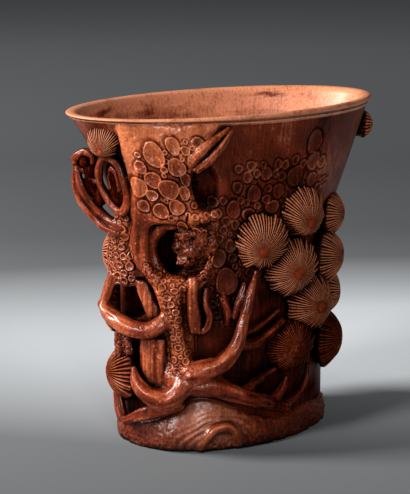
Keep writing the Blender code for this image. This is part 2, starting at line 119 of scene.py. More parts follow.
# Routes of branches: angle, height, lift and radius
BRANCHES = {
    "root_hook": [
        (196.8, 27.6, 5.2, 1.2), (198.2, 25.2, 5.5, 1.8), (200.8, 22.8, 5.8, 2.4), (205.6, 20.6, 6, 2.8),
        (211.5, 19.4, 6, 3.1), (217.5, 19.8, 6, 3.2), (222, 21.8, 5.8, 3.2), (225, 24.4, 5.4, 3.1),
    ],
    "root_low": [
        (221, 17, 3.4, 2.6), (211, 15, 3.8, 2.6), (202.6, 13, 3.8, 2.3), (195, 11, 3.8, 1.9),
        (188, 9, 3.8, 1.5),
    ],
    "main_bough": [
        (229.5, 28, 4.6, 3.6), (235, 28.8, 5, 3.5), (241, 29.8, 5.2, 3.2), (246, 32.2, 5.2, 2.8),
        (250, 35.4, 5, 2.5), (252.6, 39.2, 4.8, 2.3), (254.2, 43, 4.6, 1.9), (256.2, 47.5, 4.4, 1.7),
        (258.4, 52.5, 4, 1.5), (260.2, 56, 3.6, 1.2), (262, 59, 3, 0.9),
    ],
    "right_fork": [
        (253, 36, 3.4, 1.8), (259.5, 35.4, 3.3, 1.8), (265, 36.7, 3.2, 1.6), (271, 38.9, 3, 1.5),
        (277, 41.4, 2.8, 1.3),
    ],
    "upper_fork": [(256, 38.8, 1.7, 1), (262, 39.8, 1.6, 1), (269, 42, 1.6, 0.9), (276, 44.8, 1.5, 0.9)],
    "lower_bough": [
        (232, 23.6, 4.4, 3.2), (240, 23.2, 4.6, 3.3), (247, 21.2, 4.6, 3.2), (255, 19, 4.4, 3),
        (263, 16.8, 4, 2.7), (271, 14.6, 3.6, 2.3), (279, 12.6, 3.4, 1.7),
    ],
    "arm_a": [(257, 20.5, 3.2, 1.7), (262, 22.6, 3, 1.5), (268, 24.3, 2.8, 1.4), (273, 25.6, 2.6, 1.1)],
    "arm_b": [(270, 15.6, 3, 1.7), (275, 17.2, 3.1, 1.7), (278, 19.6, 3.1, 1.5), (280, 22, 3, 1.1)],
    "arm_c": [
        (277, 13.6, 3, 1.5), (284, 14.2, 3, 1.5), (291, 16.4, 2.9, 1.4), (295, 20, 2.8, 1.2),
        (297, 24, 2.6, 0.9),
    ],
    "root_arch": [
        (234, 1.2, 1.6, 1.3), (237, 5, 2.8, 1.4), (241.5, 8.2, 3.4, 1.6), (247, 8.8, 3.2, 1.6),
        (251.5, 6.4, 2.4, 1.4), (254, 1.8, 1.2, 1.3),
    ],
    "handle_twig": [(174.5, 89.6, 5, 0.7), (180.3, 88.4, 5, 0.8), (184.5, 87.6, 5.2, 0.7)],
    "left_twig": [(184.4, 39.6, 4, 1.9), (184, 36.6, 4, 2.1), (183.6, 33.8, 3.8, 2.1), (183, 31, 3.2, 1.8)],
    "left_bud": [(187.5, 38.6, 2.8, 1.3), (189, 35.2, 3, 1.5), (190.2, 32.4, 3, 1.6)],
    "low_stalk": [(178, 16.8, 3.2, 1.8), (180.4, 12.8, 3.4, 2), (183, 9.8, 3.4, 2)],
    "slender_roll": [
        (236.4, 54.5, 2.6, 0.9), (235.8, 50.2, 3.4, 1.2), (238, 46.4, 3.6, 1.3), (237.2, 42.8, 3.4, 1.2),
        (234.6, 41, 3.2, 1),
    ],
    "wedge_strand": [(246, 50.6, 1, 1.1), (248.2, 46.8, 1.2, 1.3), (248.2, 42.4, 0.8, 0.8)],
    "bough_twig": [(257, 55, 1.6, 1), (255, 51.6, 1.9, 1.1), (252.8, 48.4, 2.2, 1.1), (251.6, 45, 2.4, 0.9)],
    "back_trunk": [
        (118, 11, 3.8, 3.6), (111, 21, 4.6, 3.4), (101, 30, 5, 3.2), (95, 40, 5.2, 3), (99, 51, 5.2, 2.8),
        (104, 62, 5, 2.5), (99, 73, 4.4, 2.2), (89, 82, 3.6, 1.9), (82, 89, 2.8, 1.5),
    ],
    "back_bough_left": [
        (103, 31, 4.4, 1.9), (113, 34, 4.2, 1.9), (121, 40, 4, 1.7), (127, 46, 3.8, 1.5), (132, 52, 3.4, 1.3),
    ],
    "back_bough_right": [
        (95, 43, 4.4, 1.9), (82, 45, 4.2, 1.9), (69, 50, 4, 1.7), (58, 57, 3.8, 1.5), (53, 62, 3.4, 1.3),
    ],
}

# The two strands of the handle, in the same terms
HANDLE_STRANDS = [
    [
        (170.9, 91.8, 7.6, 1.3), (170.6, 87.4, 10, 1.5), (171.5, 81.6, 10.5, 1.7), (173.6, 78.2, 9.6, 1.7),
        (177.5, 75.3, 8.5, 1.7), (182.5, 73.3, 7.4, 1.7), (188.5, 72.3, 6.4, 1.7),
    ],
    [
        (172.5, 91.2, 8.2, 1), (173.4, 87.2, 8.9, 1.5), (174.4, 83.4, 8.7, 1.7), (176.4, 80.1, 7.7, 1.7),
        (180.5, 77.3, 6.6, 1.7), (185.5, 75.3, 5.8, 1.7), (191.5, 74.3, 5.2, 1.7),
    ],
]

# Dark lumps behind the handle, painted in the darkest tone as the deep shade seen through its loops: angle,
# height, lift and half-sizes along, up and out
PAINTED_SHADE_WEBS = {
    "handle_strut": [(175.5, 88, 5.2, 2.6, 4.4, 2.6), (178.4, 83.8, 4.8, 2.6, 4, 2.4)],
    "handle_ring": [(174.2, 94.6, 4.4, 2.2, 2.2, 1.8), (176.6, 91.4, 4, 2.5, 2.8, 2.2)],
    "handle_drop": [(193.4, 92.4, 2.2, 3, 4, 1.3), (193.6, 86.4, 3.8, 3.4, 5, 1.3)],
}

# The branch that loops off at the left, in the terms of a route, and the knob on it
SIDE_LOOP = [
    (181, 57, 5.4, 1.8), (177.5, 52, 6.2, 1.9), (175.4, 48.2, 6.6, 2.2), (177.5, 45.4, 6.9, 2.6),
    (187, 43.6, 6.9, 2.8), (197, 41.8, 6.8, 2.9), (206.5, 41.7, 6.2, 3), (213, 43.6, 5.2, 2.8),
    (218, 46.5, 3.6, 2.2),
]
LOOP_KNOB = [(172.6, 46.8, 7.6, 1.3, 1.4, 1.3)]

# The broken branch on the upper trunk: a split pod of two lobes, as routes
STUB_LOBES = [
    [(235.4, 96.4, 3, 1.5), (239.6, 99.8, 3.8, 1.8), (245, 103.2, 3.2, 1.4), (251.6, 106.4, 1.6, 0.7)],
    [(237.6, 94.4, 3, 1.5), (242.4, 97.4, 3.9, 1.8), (247.8, 101.4, 3.3, 1.4), (252.8, 105.8, 1.8, 0.7)],
]

# Routes that close on themselves
LOOPS = {
    "handle_ring": [
        (172, 95.5, 6.4, 1), (175, 97.6, 3.2, 1), (179, 96.6, 1.9, 1), (178, 94, 2.6, 1), (174.5, 91.4, 5, 1),
        (170.5, 92.6, 7.2, 1),
    ],
    "handle_drop": [
        (193, 97, 2, 1), (187.5, 94.2, 3.6, 1), (185.5, 88.6, 5.6, 1.1), (188, 83.2, 5.8, 1.2),
        (195, 79.6, 6.2, 1.3), (200, 83, 5.6, 1.2), (200.5, 90, 3.8, 1.1), (198.5, 94.8, 2.2, 1),
    ],
    "handle_drop_inner": [
        (193.5, 93.4, 2.4, 0.7), (190, 89.4, 3.6, 0.7), (191.5, 85, 4.2, 0.7), (196, 86, 4.2, 0.7),
        (196.5, 91, 3.2, 0.7),
    ],
}

# How much fuller the loops are than their routes
LOOP_SWELL = 1.25

# Members with streaks, and the route that their streaks follow
STREAKED = {
    **BRANCHES,
    **LOOPS,
    "side_loop": SIDE_LOOP,
    "handle_strut": HANDLE_STRANDS[0],
    "broken_stub": STUB_LOBES[1],
}

# Routes of the hollow's rim: a smooth rolled band that runs on up and down the trunk, a lip and a funnel
BURL_BAND = [
    (204.2, 80.4, 4.7, 1.9), (202.8, 76.7, 4.7, 2), (199.8, 71.5, 4.7, 2.1), (199, 66.8, 4.7, 2.1),
    (202, 63, 4.7, 2), (207.2, 60.2, 4.7, 1.9), (209.6, 58.4, 4.7, 1.8),
]
BAND_ABOVE = [(211, 94, 4, 0.9), (207.4, 87, 4.8, 1.5), (204.8, 82, 4.7, 1.8), (203.8, 79, 4.7, 1.9)]
BAND_BELOW = [
    (208.6, 59.4, 4.7, 1.8), (211.2, 57, 4.8, 1.6), (213.4, 53.1, 5, 1.4), (214.8, 49.2, 5, 1.2),
    (216, 44, 5, 1),
]
BURL_LIP = [
    (236.2, 74.4, 4, 0.9), (228, 76.2, 4.4, 1), (220.7, 77.4, 4.6, 1.1), (212.7, 77.4, 4.8, 1.3),
    (207, 75.4, 4.8, 1.5), (204.2, 69.4, 4.8, 1.6), (205.4, 63, 4.8, 1.6), (210.6, 58.4, 4.8, 1.5),
    (218.6, 55.8, 4.6, 1.4), (227, 56.4, 4.4, 1.3), (235, 60, 3.8, 1.2), (239, 65, 3, 0.9),
]
BURL_FUNNEL = [
    (225, 75.4, 1.6, 1.4), (217, 75.4, 2.2, 1.6), (211.8, 73.6, 2.4, 2.1), (208, 70.6, 2.4, 1.9),
    (206.8, 66.8, 2.4, 1.7), (209.6, 61.8, 2.4, 2.1), (215, 58.4, 2.4, 1.8), (222.6, 57, 1.6, 1.4),
]

# Broad members, as rows of height, left and right angle, and lift, with the strips of split wood last
SLABS = {
    "trunk_upper": [
        (108.4, 208, 250, 0.6), (103, 205.4, 246.5, 2.4), (99, 204.4, 241.5, 3.4), (94, 203.4, 236, 4.6),
        (89, 202.8, 233.5, 5.4), (84, 202, 234, 6), (77.5, 201.4, 236.5, 6.4),
    ],
    "trunk_left": [
        (79, 188, 200.5, 6), (73, 178, 197.6, 6.4), (67, 171, 195.2, 6.2), (61, 168, 198.6, 6),
        (54.5, 170, 197, 5.4),
    ],
    "trunk_centre": [
        (58.6, 209, 226, 5), (55.4, 211.4, 225, 5.8), (50, 214.5, 224.5, 6.2), (45, 216, 225, 6.2),
        (40, 217, 226, 6.2), (34, 218, 228.5, 6), (27, 218, 233, 5.6), (21, 216, 238, 5.4),
        (16.5, 214, 243, 4),
    ],
    "split_plank": [
        (59, 227, 233.2, 5.2), (56.8, 226.5, 233, 5.8), (53, 226, 232.6, 5.9), (46.8, 226, 234, 5.6),
        (42, 226.8, 234.4, 4.8), (40.2, 228, 234.6, 4.2),
    ],
    "inner_plank": [
        (57, 195, 204.6, 4.4), (54, 196.6, 206.6, 4.6), (51, 198.8, 209.6, 4.8), (47.5, 201.4, 212.8, 4.6),
        (43.5, 204.4, 213.6, 4),
    ],
    "low_plank": [
        (38.5, 198.4, 215.4, 4), (31, 197.8, 216, 4.2), (25.5, 198.8, 216.4, 4), (20.5, 202.4, 216.4, 3.4),
    ],
}
PLANKS = ("split_plank", "inner_plank", "low_plank")

# The raised ground between the parts of the trunk, as such rows
TRUNK_GROUND = [
    (57.6, 202, 238, 4), (55.6, 206, 235, 4), (53.4, 210, 233, 4), (48, 213, 233, 3.4), (42, 213, 232, 3.2),
    (38, 213, 231, 2.8), (30, 213, 231, 2.8), (24, 208, 234, 2.8),
]
LEFT_GROUND = [(82, 188, 212, 3.6), (75, 178, 208, 4), (67, 171, 204, 4), (58, 170, 208, 3.8)]

# Lumps of rough wood in the hollow: angle, height, lift and half-sizes along, up and out
HEART_LUMPS = [
    (231, 69, 0.4, 6, 6, 2.6), (238, 69, 0.6, 3.4, 5.6, 2.4), (225.5, 72.4, 1.2, 2.6, 2.2, 2),
    (229, 67, 2.2, 3, 2.6, 2), (234, 71, 2.4, 2.6, 3.2, 1.8), (223, 68.6, -0.8, 2.2, 5, 1.8),
    (231, 73.4, 2.6, 2.4, 1.8, 1.6), (226, 63.8, 1.4, 3.2, 1.9, 2),
]

# Lumps of the shoulder above the hollow, of the trunk's swollen foot and of the stump of a small branch
BURL_SHOULDER = [(207.5, 77.8, 3.4, 2.6, 2.4, 2.2)]
ROOT_LUMPS = [
    (223, 24.5, 2.6, 5.4, 6, 3.6), (230, 25.5, 2.4, 4.6, 4.6, 3.4), (219, 20, 2.2, 4.6, 4.2, 3.4),
    (235, 21, 1.6, 4.6, 3.6, 3),
]
SMALL_STUB_LUMPS = [
    (231.5, 78.6, 4.8, 2.8, 2.3, 2.4), (236.4, 79, 5.4, 2.6, 2.1, 2.2), (240.6, 79.4, 5.6, 1.9, 1.9, 2),
]

# How softly members join one another, and the wall
JOINS = {
    **dict.fromkeys(BRANCHES, (0.9, 0.9)),
    **dict.fromkeys(("right_fork", "upper_fork", "arm_a", "arm_b", "arm_c"), (1.6, 1.8)),
    **dict.fromkeys(("wedge_strand", "root_arch"), (1.6, 1.8)),
    **dict.fromkeys(("main_bough", "lower_bough", "root_hook", "root_low"), (2.4, 1.8)),
    **dict.fromkeys(LOOPS, (0.9, 0.7)),
    **dict.fromkeys(PLANKS, (0.5, 0.4)),
    "rock_foot": (1.6, 0.5),
    "side_loop": (2.0, 1.8),
    "handle_strut": (1.0, 0.6),
    "broken_stub": (1.2, 0.9),
    "small_stub": (1.6, 1.2),
    "burl_ring": (2.2, 0.8),
    "burl_heart": (0.7, 1.8),
    "trunk_upper": (1.6, 1.0),
    "trunk_left": (1.4, 1.0),
    "trunk_centre": (1.2, 1.2),
}

# How chipped the surface is under each finish
CHIPPED = {"foot": 0.6, "trunk": 1.0, "bough": 0.35}

# Layers of roughness: amount, size and seed
WAVES = [(0.16, 3.4, 1), (0.20, 7, 17)]
CHIPS = [(0.11, 1.5, 2), (0.07, 0.7, 4)]
HEART_ROUGHNESS = [(0.30, 1.7, 12), (0.26, 0.8, 13), (0.14, 0.5, 14)]

# How far bark shows on branches that carry some
RINGED = {"main_bough": 0.15, "back_trunk": 0.8, "left_twig": 0.9, "left_bud": 0.9}

# How worn members are, how much lighter or darker some are, and how far painted shade low on the right and
# rings of bark change that
MEMBER_WEAR = 0.44
RING_WEAR = 0.8
LOW_RIGHT_SHADE_DEPTH = 0.28
NEEDLE_LOW_RIGHT_SHADE = 0.85
LOW_RIGHT_SHADE_ANGLES = (248, 268, 320, 350)
LOW_RIGHT_SHADE_HEIGHTS = (36, 64)
LIGHTER = {
    **dict.fromkeys(("handle_strut", "handle_twig", *LOOPS), -0.03),
    "root_arch": 0.46,
    "main_bough": 0.12,
    "side_loop": 0.14,
    "root_hook": 0.08,
    "trunk_centre": 0.06,
    "broken_stub": 0.06,
    "burl_ring": -0.11,
}

# Needle clusters: angle, height, lift of the rim, radius and turn, then where the needles meet in radii
NEEDLES = [
    (283, 59, 3.2, 9.2, -14, 0, -0.15),
    (266, 68.6, 2.4, 8.8, -8, -0.2, -0.30),
    (290, 76, 1.8, 8.2, -10, 0, -0.40),
    (297.5, 45, 3.2, 9.2, -14, 0.1, -0.05),
    (284, 32.6, 2.4, 8.8, -12, -0.1, 0),
    (318, 58.6, 3.4, 8.6, 0, 0.1, 0),
    (323, 72, 1.8, 7, 0, 0.1, 0),
    (322, 29.5, 2.6, 9.2, 0, 0.1, 0),
    (346, 99.4, 2.6, 4.6, 0, 0, 0),
    (196, 103, 0.8, 5.4, 8, 0, -0.8),
    (181, 24, 2.4, 8.6, -14, -0.35, 0),
    (342, 44, 2.2, 8.2, 0, 0, -0.1),
    (14, 37, 2.6, 8.4, 0, 0, -0.1),
    (28, 59, 3, 8.8, 0, 0, -0.1),
    (22, 78.5, 1.8, 7.8, 0, 0, -0.2),
    (47, 70.5, 2.6, 8.8, 0, 0, -0.1),
    (68, 78.5, 2, 7.6, 0, 0, -0.2),
    (79, 95, 1.2, 6.4, 0, 0, -0.3),
    (58, 36, 2.6, 8.6, 0, 0, 0.1),
    (138, 60, 3, 8.8, 0, 0, -0.1),
    (117, 75, 2.4, 8.4, 0, 0, -0.2),
    (143, 41, 2.8, 8.2, 0, 0, 0),
]

# How the needles are cut, which clusters have few needles, and which are dull
NEEDLES_PER_MM = 5.6
COARSE_CLUSTERS = (10, 11)
COARSE_NEEDLES = 34
DULL_CLUSTERS = {10: 0.9, 11: 0.42}
SAMPLES_PER_NEEDLE = 6
NEEDLE_DOME_SHARE = 0.52
DISC_SPREAD = 1.03
NEEDLE_STALK_SHARE = 0.86
NEEDLE_STALK_WEAR = 0.45
NEEDLE_HUB_SHARE = 0.40
NEEDLE_HUB_STRENGTH = 0.85
NEEDLE_FLUTE_DEPTH = 0.58
NEEDLE_LENGTHS = (0.90, 1.06)
NEEDLE_SWELLS = (-0.25, 0.15)
BUD_SHARE = 0.1
BUD_HEIGHT = 0.25

# Bark rings seen on the trunk and the wall: angle, height, half-width and half-height
BARK_RINGS = [
    (220.5, 99, 3.3, 4.6), (229.5, 101.8, 2.3, 3.3), (234, 100.2, 1.6, 1.7), (239.5, 102.5, 2.3, 2),
    (212.5, 95, 2, 2.4), (228.7, 95, 2.9, 3.3), (223, 94.3, 1.2, 1.2), (225, 97, 1, 1), (236, 97, 1.9, 2.3),
    (208.8, 88.6, 2.6, 3.6), (216.8, 91, 2.6, 3), (222.9, 88, 3.2, 3.6), (214.4, 86, 1.9, 2),
    (209, 82.4, 1.7, 2.3), (217, 81, 2.4, 2.8), (224.8, 82.2, 2.4, 2.8), (229.6, 86.7, 1.7, 2.6),
    (231.2, 91, 1.7, 2.5), (240.8, 80, 1.2, 1.2), (236.4, 77.8, 1.4, 1.3), (263, 84.2, 2.6, 3.1),
    (270, 85.4, 1.6, 1.4), (275.3, 84.3, 2.4, 2.7), (269.3, 82, 1.9, 1.7), (283.6, 88.5, 3.6, 3.7),
    (294, 86.4, 2.6, 2.7), (292.6, 92.5, 3.1, 3.4), (291, 99, 3.4, 4.2), (268.5, 90.5, 2.2, 2.4),
    (252.7, 79.6, 2.5, 3.3), (260.2, 77.5, 2.5, 2.4), (272.8, 79.2, 2.9, 2.4), (264.8, 80.2, 1.4, 1.4),
    (248.4, 56, 4.1, 5), (243.5, 64, 3, 3.3), (251.6, 63.8, 1.8, 1.7), (253.3, 48.9, 1.5, 2.3),
    (303, 85.4, 2, 1.4),
]

# Where smaller rings fill in: lowest and highest angle and height, then least and largest radius, and tries
BARK_FILLS = [
    (211, 236, 78, 101, 0.5, 1.1, 160),
    (203, 240, 58, 63, 0.4, 0.8, 200),
    (228, 242, 97, 104, 0.5, 1.1, 60),
    (168, 196, 54, 79, 0.45, 1.2, 600),
    (204, 228, 26, 62, 0.45, 1.1, 800),
    (221, 240, 58, 80, 0.6, 1.6, 260),
    (238, 262, 58, 84, 0.7, 1.8, 260),
    (255, 300, 76, 94, 0.7, 1.8, 320),
    (240, 256, 44, 58, 0.6, 1.4, 120),
    (204, 219, 39, 46, 0.5, 1, 60),
    (84, 122, 12, 84, 0.7, 2, 700),
    (178, 194, 30, 41, 0.45, 1, 160),
]
RING_SHARE = 0.9
FILL_SPACING = 0.96
FILL_TALLNESS = (0.9, 1.25)
NO_RING = -9.0
BARK_CRACK_DEPTH = 0.38
BARK_RIM_HEIGHT = 0.30
BARK_RING_REACH = 1.5
WALL_BARK_SHARE = 0.8
WALL_BARK_TOP = (100, 105)
FRONT_ANGLES = (150, 160, 312, 320)

# The steps and the size of the maps of the bark, by height and by angle
MAP_STEP_DEGREES = 0.2
MAP_STEP = 0.125
MAP_SHAPE = (int(CUP_HEIGHT / MAP_STEP) + 1, int(360 / MAP_STEP_DEGREES))

# Hollows sunk in the wall: their soft edge, then angle, height, half-width, half-height and depth
HOLLOW_EDGE = (0.7, 1.15)
HOLLOWS = [(215, 66.4, 6.2, 8.8, 3.2), (188, 49.4, 6.2, 6.2, 2.6), (239.5, 88.5, 5, 8.5, 1.6)]

# Dark patches inside, the first two painted shade under the left of the lip and the last a stain: angle,
# height, half-width, half-height and depth
INSIDE_SHADE_AND_STAINS = [(134, 106.4, 9, 1.8, 0.36), (112, 104, 8, 1.4, 0.25), (50, 107.4, 11, 1, 0.45)]

# Section of the lip, as heights and lifts
LIP = [
    (106.4, 0), (106.9, 0.05), (107.2, 0.25), (107.6, 0.30), (107.9, 0.05), (108.15, 0.05), (108.4, 0.40),
    (108.8, 0.70), (109.2, 0.75), (109.6, 0.50), (109.93, 0), (110, -0.8), (109.85, -1.8), (109.4, -2.5),
    (108.6, -3),
]

# Where the lip is thinner, and by how much
LIP_THINNING = 0.5
LIP_THIN_ANGLE = 195.0
LIP_THIN_WIDTH = 50.0

# The tones of each finish in cracks, on most of it and on worn ridges
TONES = {
    "vessel": [(0.014, 0.0016, 0.0004), (0.17, 0.022, 0.005), (0.70, 0.26, 0.13)],
    "floor": [(0.020, 0.004, 0.001), (0.16, 0.034, 0.011), (0.34, 0.10, 0.040)],
    "foot": [(0.018, 0.0022, 0.0006), (0.20, 0.028, 0.007), (0.56, 0.17, 0.075)],
    "trunk": [(0.012, 0.0015, 0.0004), (0.20, 0.029, 0.007), (0.70, 0.185, 0.064)],
    "bough": [(0.012, 0.0013, 0.0003), (0.17, 0.020, 0.005), (0.50, 0.115, 0.038)],
    "needle": [(0.022, 0.0034, 0.001), (0.17, 0.026, 0.007), (0.60, 0.205, 0.095)],
}
NEEDLE_HUB = (0.20, 0.027, 0.007, 1.0)

# How far hollows and cracks darken, from hidden to open, as painted shade with some patina, and the tint of
# the shine
WHITE = (1.0, 1.0, 1.0)
HOLLOW_SHADE = [(0.0, (0.012, 0.007, 0.005)), (0.5, (0.22, 0.16, 0.14)), (0.95, WHITE)]
CRACK_SHADE = [(0.4, (0.03, 0.018, 0.012)), (0.95, WHITE)]
SHINE_TINT = (1.0, 0.70, 0.55, 1.0)

# Each finish: its roughness, gloss, specks, flecks and the roughness of its coat
FINISHES = {
    "vessel": (0.42, 0.8, 0.5, 0.8, 0.45),
    "floor": (0.55, 1.0, 0.7, 0.45, 0.24),
    "foot": (0.40, 1.3, 0.5, 0.6, 0.30),
    "trunk": (0.40, 1.0, 0.5, 0.7, 0.24),
    "bough": (0.36, 1.0, 0.4, 0.6, 0.20),
    "needle": (0.50, 0.3, 0.7, 0.7, 0.24),
}

# The painted pool of light on the floor: its middle, turn and shape, then greys by distance
POOL_CENTRE = (0.148, 0.029, 0.0)
POOL_TURN = (0.0, 0.0, math.radians(-32.6))
POOL_SHAPE = (2.5, 1.0, 1.0)
POOL_GREYS = [(0.0, 0.64), (0.05, 0.58), (0.09, 0.36), (0.14, 0.13), (0.20, 0.10), (0.40, 0.10), (1.0, 0.25)]

# Lamps: place, width, power and colour
LAMPS = {
    "key_light": ((-0.76, 0.40, 0.60), 0.30, 18.0, (1.0, 0.98, 0.95)),
    "side_light": ((-0.98, -0.16, 0.44), 0.30, 9.0, (1.0, 1.0, 1.0)),
    "front_light": ((-0.40, -0.96, 0.36), 0.20, 4.0, (1.0, 1.0, 1.0)),
}
LAMP_TARGET = (0.0, 0.0, 0.06)
SKY_COLOUR = (0.9, 0.95, 1.0, 1.0)
SKY_STRENGTH = 0.06

# Camera, from the photograph
CAMERA_PLACE = (-0.3044, -0.4759, 0.1929)
CAMERA_TARGET = (-0.00504, 0.00315, 0.06118)
CAMERA_FOCAL_PIXELS = 1745.0
IMAGE_HEIGHT = 494
SENSOR = 36.0


def oval(turn, height):
    """Half-length and half-width of the vessel's outside at an angle in radians and a height."""
    rise = np.clip((height - FLARE_START) / (CUP_HEIGHT - FLARE_START), 0.0, 1.2)
    flare = rise ** (FLARE_POWER - FLARE_LEAN * np.cos(turn))
    half_length = WAIST_HALF_LENGTH + (MOUTH_HALF_LENGTH - WAIST_HALF_LENGTH) * flare
    half_width = WAIST_HALF_WIDTH + (MOUTH_HALF_WIDTH - WAIST_HALF_WIDTH) * flare
    return half_length, half_width


def wall_outward(angle, height):
    turn = np.radians(angle)
    half_length, half_width = oval(turn, height)
    x = np.cos(turn) / half_length
    y = np.sin(turn) / half_width
    size = np.hypot(x, y)
    return np.stack([x / size, y / size, np.zeros_like(x)], axis=-1)


def on_wall(angle, height, lift):
    """Points at places on the vessel, from arrays of angle, height and lift."""
    angle, height, lift = np.broadcast_arrays(*np.atleast_1d(angle, height, lift))
    turn = np.radians(angle)
    half_length, half_width = oval(turn, height)
    wall = np.stack([half_length * np.cos(turn), half_width * np.sin(turn), height], axis=-1)
    return wall + wall_outward(angle, height) * lift[..., None]


def places_of(points):
    """Angle, height and lift of points near the wall."""
    x, y, height = points.T
    turn = np.arctan2(y / WAIST_HALF_WIDTH, x / WAIST_HALF_LENGTH)
    for _ in range(3):
        half_length, half_width = oval(turn, height)
        off_x = x - half_length * np.cos(turn)
        off_y = y - half_width * np.sin(turn)
        along_x = -half_length * np.sin(turn)
        along_y = half_width * np.cos(turn)
        speed = np.hypot(along_x, along_y)
        lift = (off_x * along_y - off_y * along_x) / speed
        bend = np.maximum(0.3, 1.0 + lift * half_length * half_width / speed**3)
        turn += (off_x * along_x + off_y * along_y) / (speed**2 * bend)
    return np.degrees(turn) % 360.0, height, lift


def mm_per_degree(angle, height):
    turn = np.radians(angle)
    half_length, half_width = oval(turn, height)
    return np.hypot(half_length * np.sin(turn), half_width * np.cos(turn)) * math.pi / 180.0


def turned_by(angle, start):
    """How far an angle lies past a start, from -180 to 180."""
    return (angle - start + 180.0) % 360.0 - 180.0


def mm_past(angle, height, start):
    return turned_by(angle, start) * mm_per_degree(angle, height)


def patch_reach(angle, height, patch):
    """How far places lie from the middle of an oval patch of the wall, beside its half-sizes."""
    middle, level, half_width, half_height = patch
    return np.hypot(mm_past(angle, height, middle) / half_width, (height - level) / half_height)


def bell(value, width):
    return np.exp(-((value / width) ** 2))


def smooth_step(low, high, value):
    share = np.clip((value - low) / (high - low), 0.0, 1.0)
    return share * share * (3.0 - 2.0 * share)


def within(value, rise, full, fading, gone):
    """1 where a value lies between full and fading, with soft ends."""
    return smooth_step(rise, full, value) * (1.0 - smooth_step(fading, gone, value))


def smooth_min(first, second, radius):
    share = np.clip(0.5 + 0.5 * (second - first) / radius, 0.0, 1.0)
    return second + (first - second) * share - radius * share * (1.0 - share)


def smooth_max(first, second, radius):
    return -smooth_min(-first, -second, radius)


def noise(points, size, seed=0):
    """Smooth random values from -1 to 1, with features of a size."""
    cell = points / size
    base = np.floor(cell).astype(np.int64)
    share = cell - base
    share = share * share * (3.0 - 2.0 * share)
    total = np.zeros(len(points))
    for corner in itertools.product((0, 1), repeat=3):
        key = base + corner
        mixed = key[:, 0] * 73856093 ^ key[:, 1] * 19349663 ^ key[:, 2] * 83492791 ^ (seed + 1) * 39916801
        mixed = (mixed ^ (mixed >> 13)) * 1274126177 & 0xFFFFFFFF
        value = (mixed >> 8 & 0xFFFF) / 32767.5 - 1.0
        weight = np.prod(np.where(corner, share, 1.0 - share), axis=1)
        total += value * weight
    return total


def layered_noise(points, layers):
    return sum(amount * noise(points, size, seed) for amount, size, seed in layers)


def spline(knots, closed=False):
    """Points on a smooth curve through rows of knots."""
    knots = np.asarray(knots, float)
    count = len(knots)
    spans = count if closed else count - 1
    points = []
    for span in range(spans):
        picks = [span + offset for offset in (-1, 0, 1, 2)]
        picks = [pick % count if closed else min(max(pick, 0), count - 1) for pick in picks]
        a, b, c, d = knots[picks]
        for step in range(STEPS_PER_SPAN):
            share = step / STEPS_PER_SPAN
            bend = (2 * a - 5 * b + 4 * c - d) * share**2 + (3 * b - 3 * c + d - a) * share**3
            points.append(b + 0.5 * ((c - a) * share + bend))
    points.append(knots[0] if closed else knots[-1])
    return np.array(points)


def stamp_ring(rings, tones, cracks, ring, wobble):
    """Raises one dished ring on the bark maps, and sinks the cracks round it."""
    angle, height, half_width, half_height = ring
    speed = float(mm_per_degree(angle, height))
    wide = BARK_RING_REACH * half_width / speed
    tall = BARK_RING_REACH * half_height
    columns = np.arange(int((angle - wide) / MAP_STEP_DEGREES), int((angle + wide) / MAP_STEP_DEGREES) + 2)
    top = min(MAP_SHAPE[0], int((height + tall) / MAP_STEP) + 2)
    rows = np.arange(max(0, int((height - tall) / MAP_STEP)), top)
    along = (columns * MAP_STEP_DEGREES - angle) * speed / half_width
    up = (rows * MAP_STEP - height) / half_height
    along, up = np.meshgrid(along, up)
    share = np.hypot(along, up) * (1.0 + 0.05 * np.sin(3.0 * np.arctan2(up, along) + wobble))
    radius = math.sqrt(half_width * half_height)
    inward = (1.0 - share) * radius
    size = min(1.0, radius / 1.6)
    line = bell(inward - 0.2, 0.17)
    rim = BARK_RIM_HEIGHT * (0.4 + 0.6 * size) * line
    dish = 0.50 * size * (1.0 - smooth_step(0.1, 0.9, share))
    tilt = 0.16 * size * (along * math.cos(wobble) + up * math.sin(wobble))
    edge = smooth_step(-0.22, 0.08, inward)
    raised = (rim - dish + tilt) * edge - BARK_CRACK_DEPTH * (1.0 - edge)
    window = np.ix_(rows, columns % MAP_SHAPE[1])
    tone = (0.36 + 0.18 * size + 0.10 * math.sin(5.0 * wobble) + 0.34 * line) * edge + 0.06 * (1.0 - edge)
    shown = (inward > -0.22) & (raised > rings[window])
    rings[window] = np.where(shown, raised, rings[window])
    tones[window] = np.where(shown, tone, tones[window])
    cracks[window] = np.maximum(cracks[window], 1.0 - smooth_step(1.05, BARK_RING_REACH, share))


def bark_rings():
    """The rings that show, and smaller ones that fill in between them."""
    random = np.random.default_rng(7)
    placed = [(*place, RING_SHARE * wide, RING_SHARE * tall) for *place, wide, tall in BARK_RINGS]
    for low_angle, high_angle, low, high, least, largest, tries in BARK_FILLS:
        for radius in np.sort(random.uniform(least, largest, tries))[::-1]:
            angle = random.uniform(low_angle, high_angle)
            height = random.uniform(low, high)
            others = np.array(placed)
            along = turned_by(others[:, 0], angle) * mm_per_degree(angle, height)
            up = others[:, 1] - height
            tall = radius * random.uniform(*FILL_TALLNESS)
            reach = np.hypot(along / (others[:, 2] + radius), up / (others[:, 3] + tall))
            if reach.min() > FILL_SPACING:
                placed.append((angle, height, radius, tall))
    return placed


def make_bark():
    """The maps of the bark's height above smooth wood, and of its wear."""
    rings = np.full(MAP_SHAPE, NO_RING)
    tones = np.full(MAP_SHAPE, 0.5)
    cracks = np.zeros(MAP_SHAPE)
    random = np.random.default_rng(11)
    for ring in bark_rings():
        stamp_ring(rings, tones, cracks, ring, random.uniform(0.0, 6.3))
    ringed = rings > NO_RING
    heights = np.where(ringed, rings, -BARK_CRACK_DEPTH * cracks)
    return heights, np.where(ringed, tones, 0.5 - 0.36 * cracks)


BARK, BARK_WEAR = make_bark()


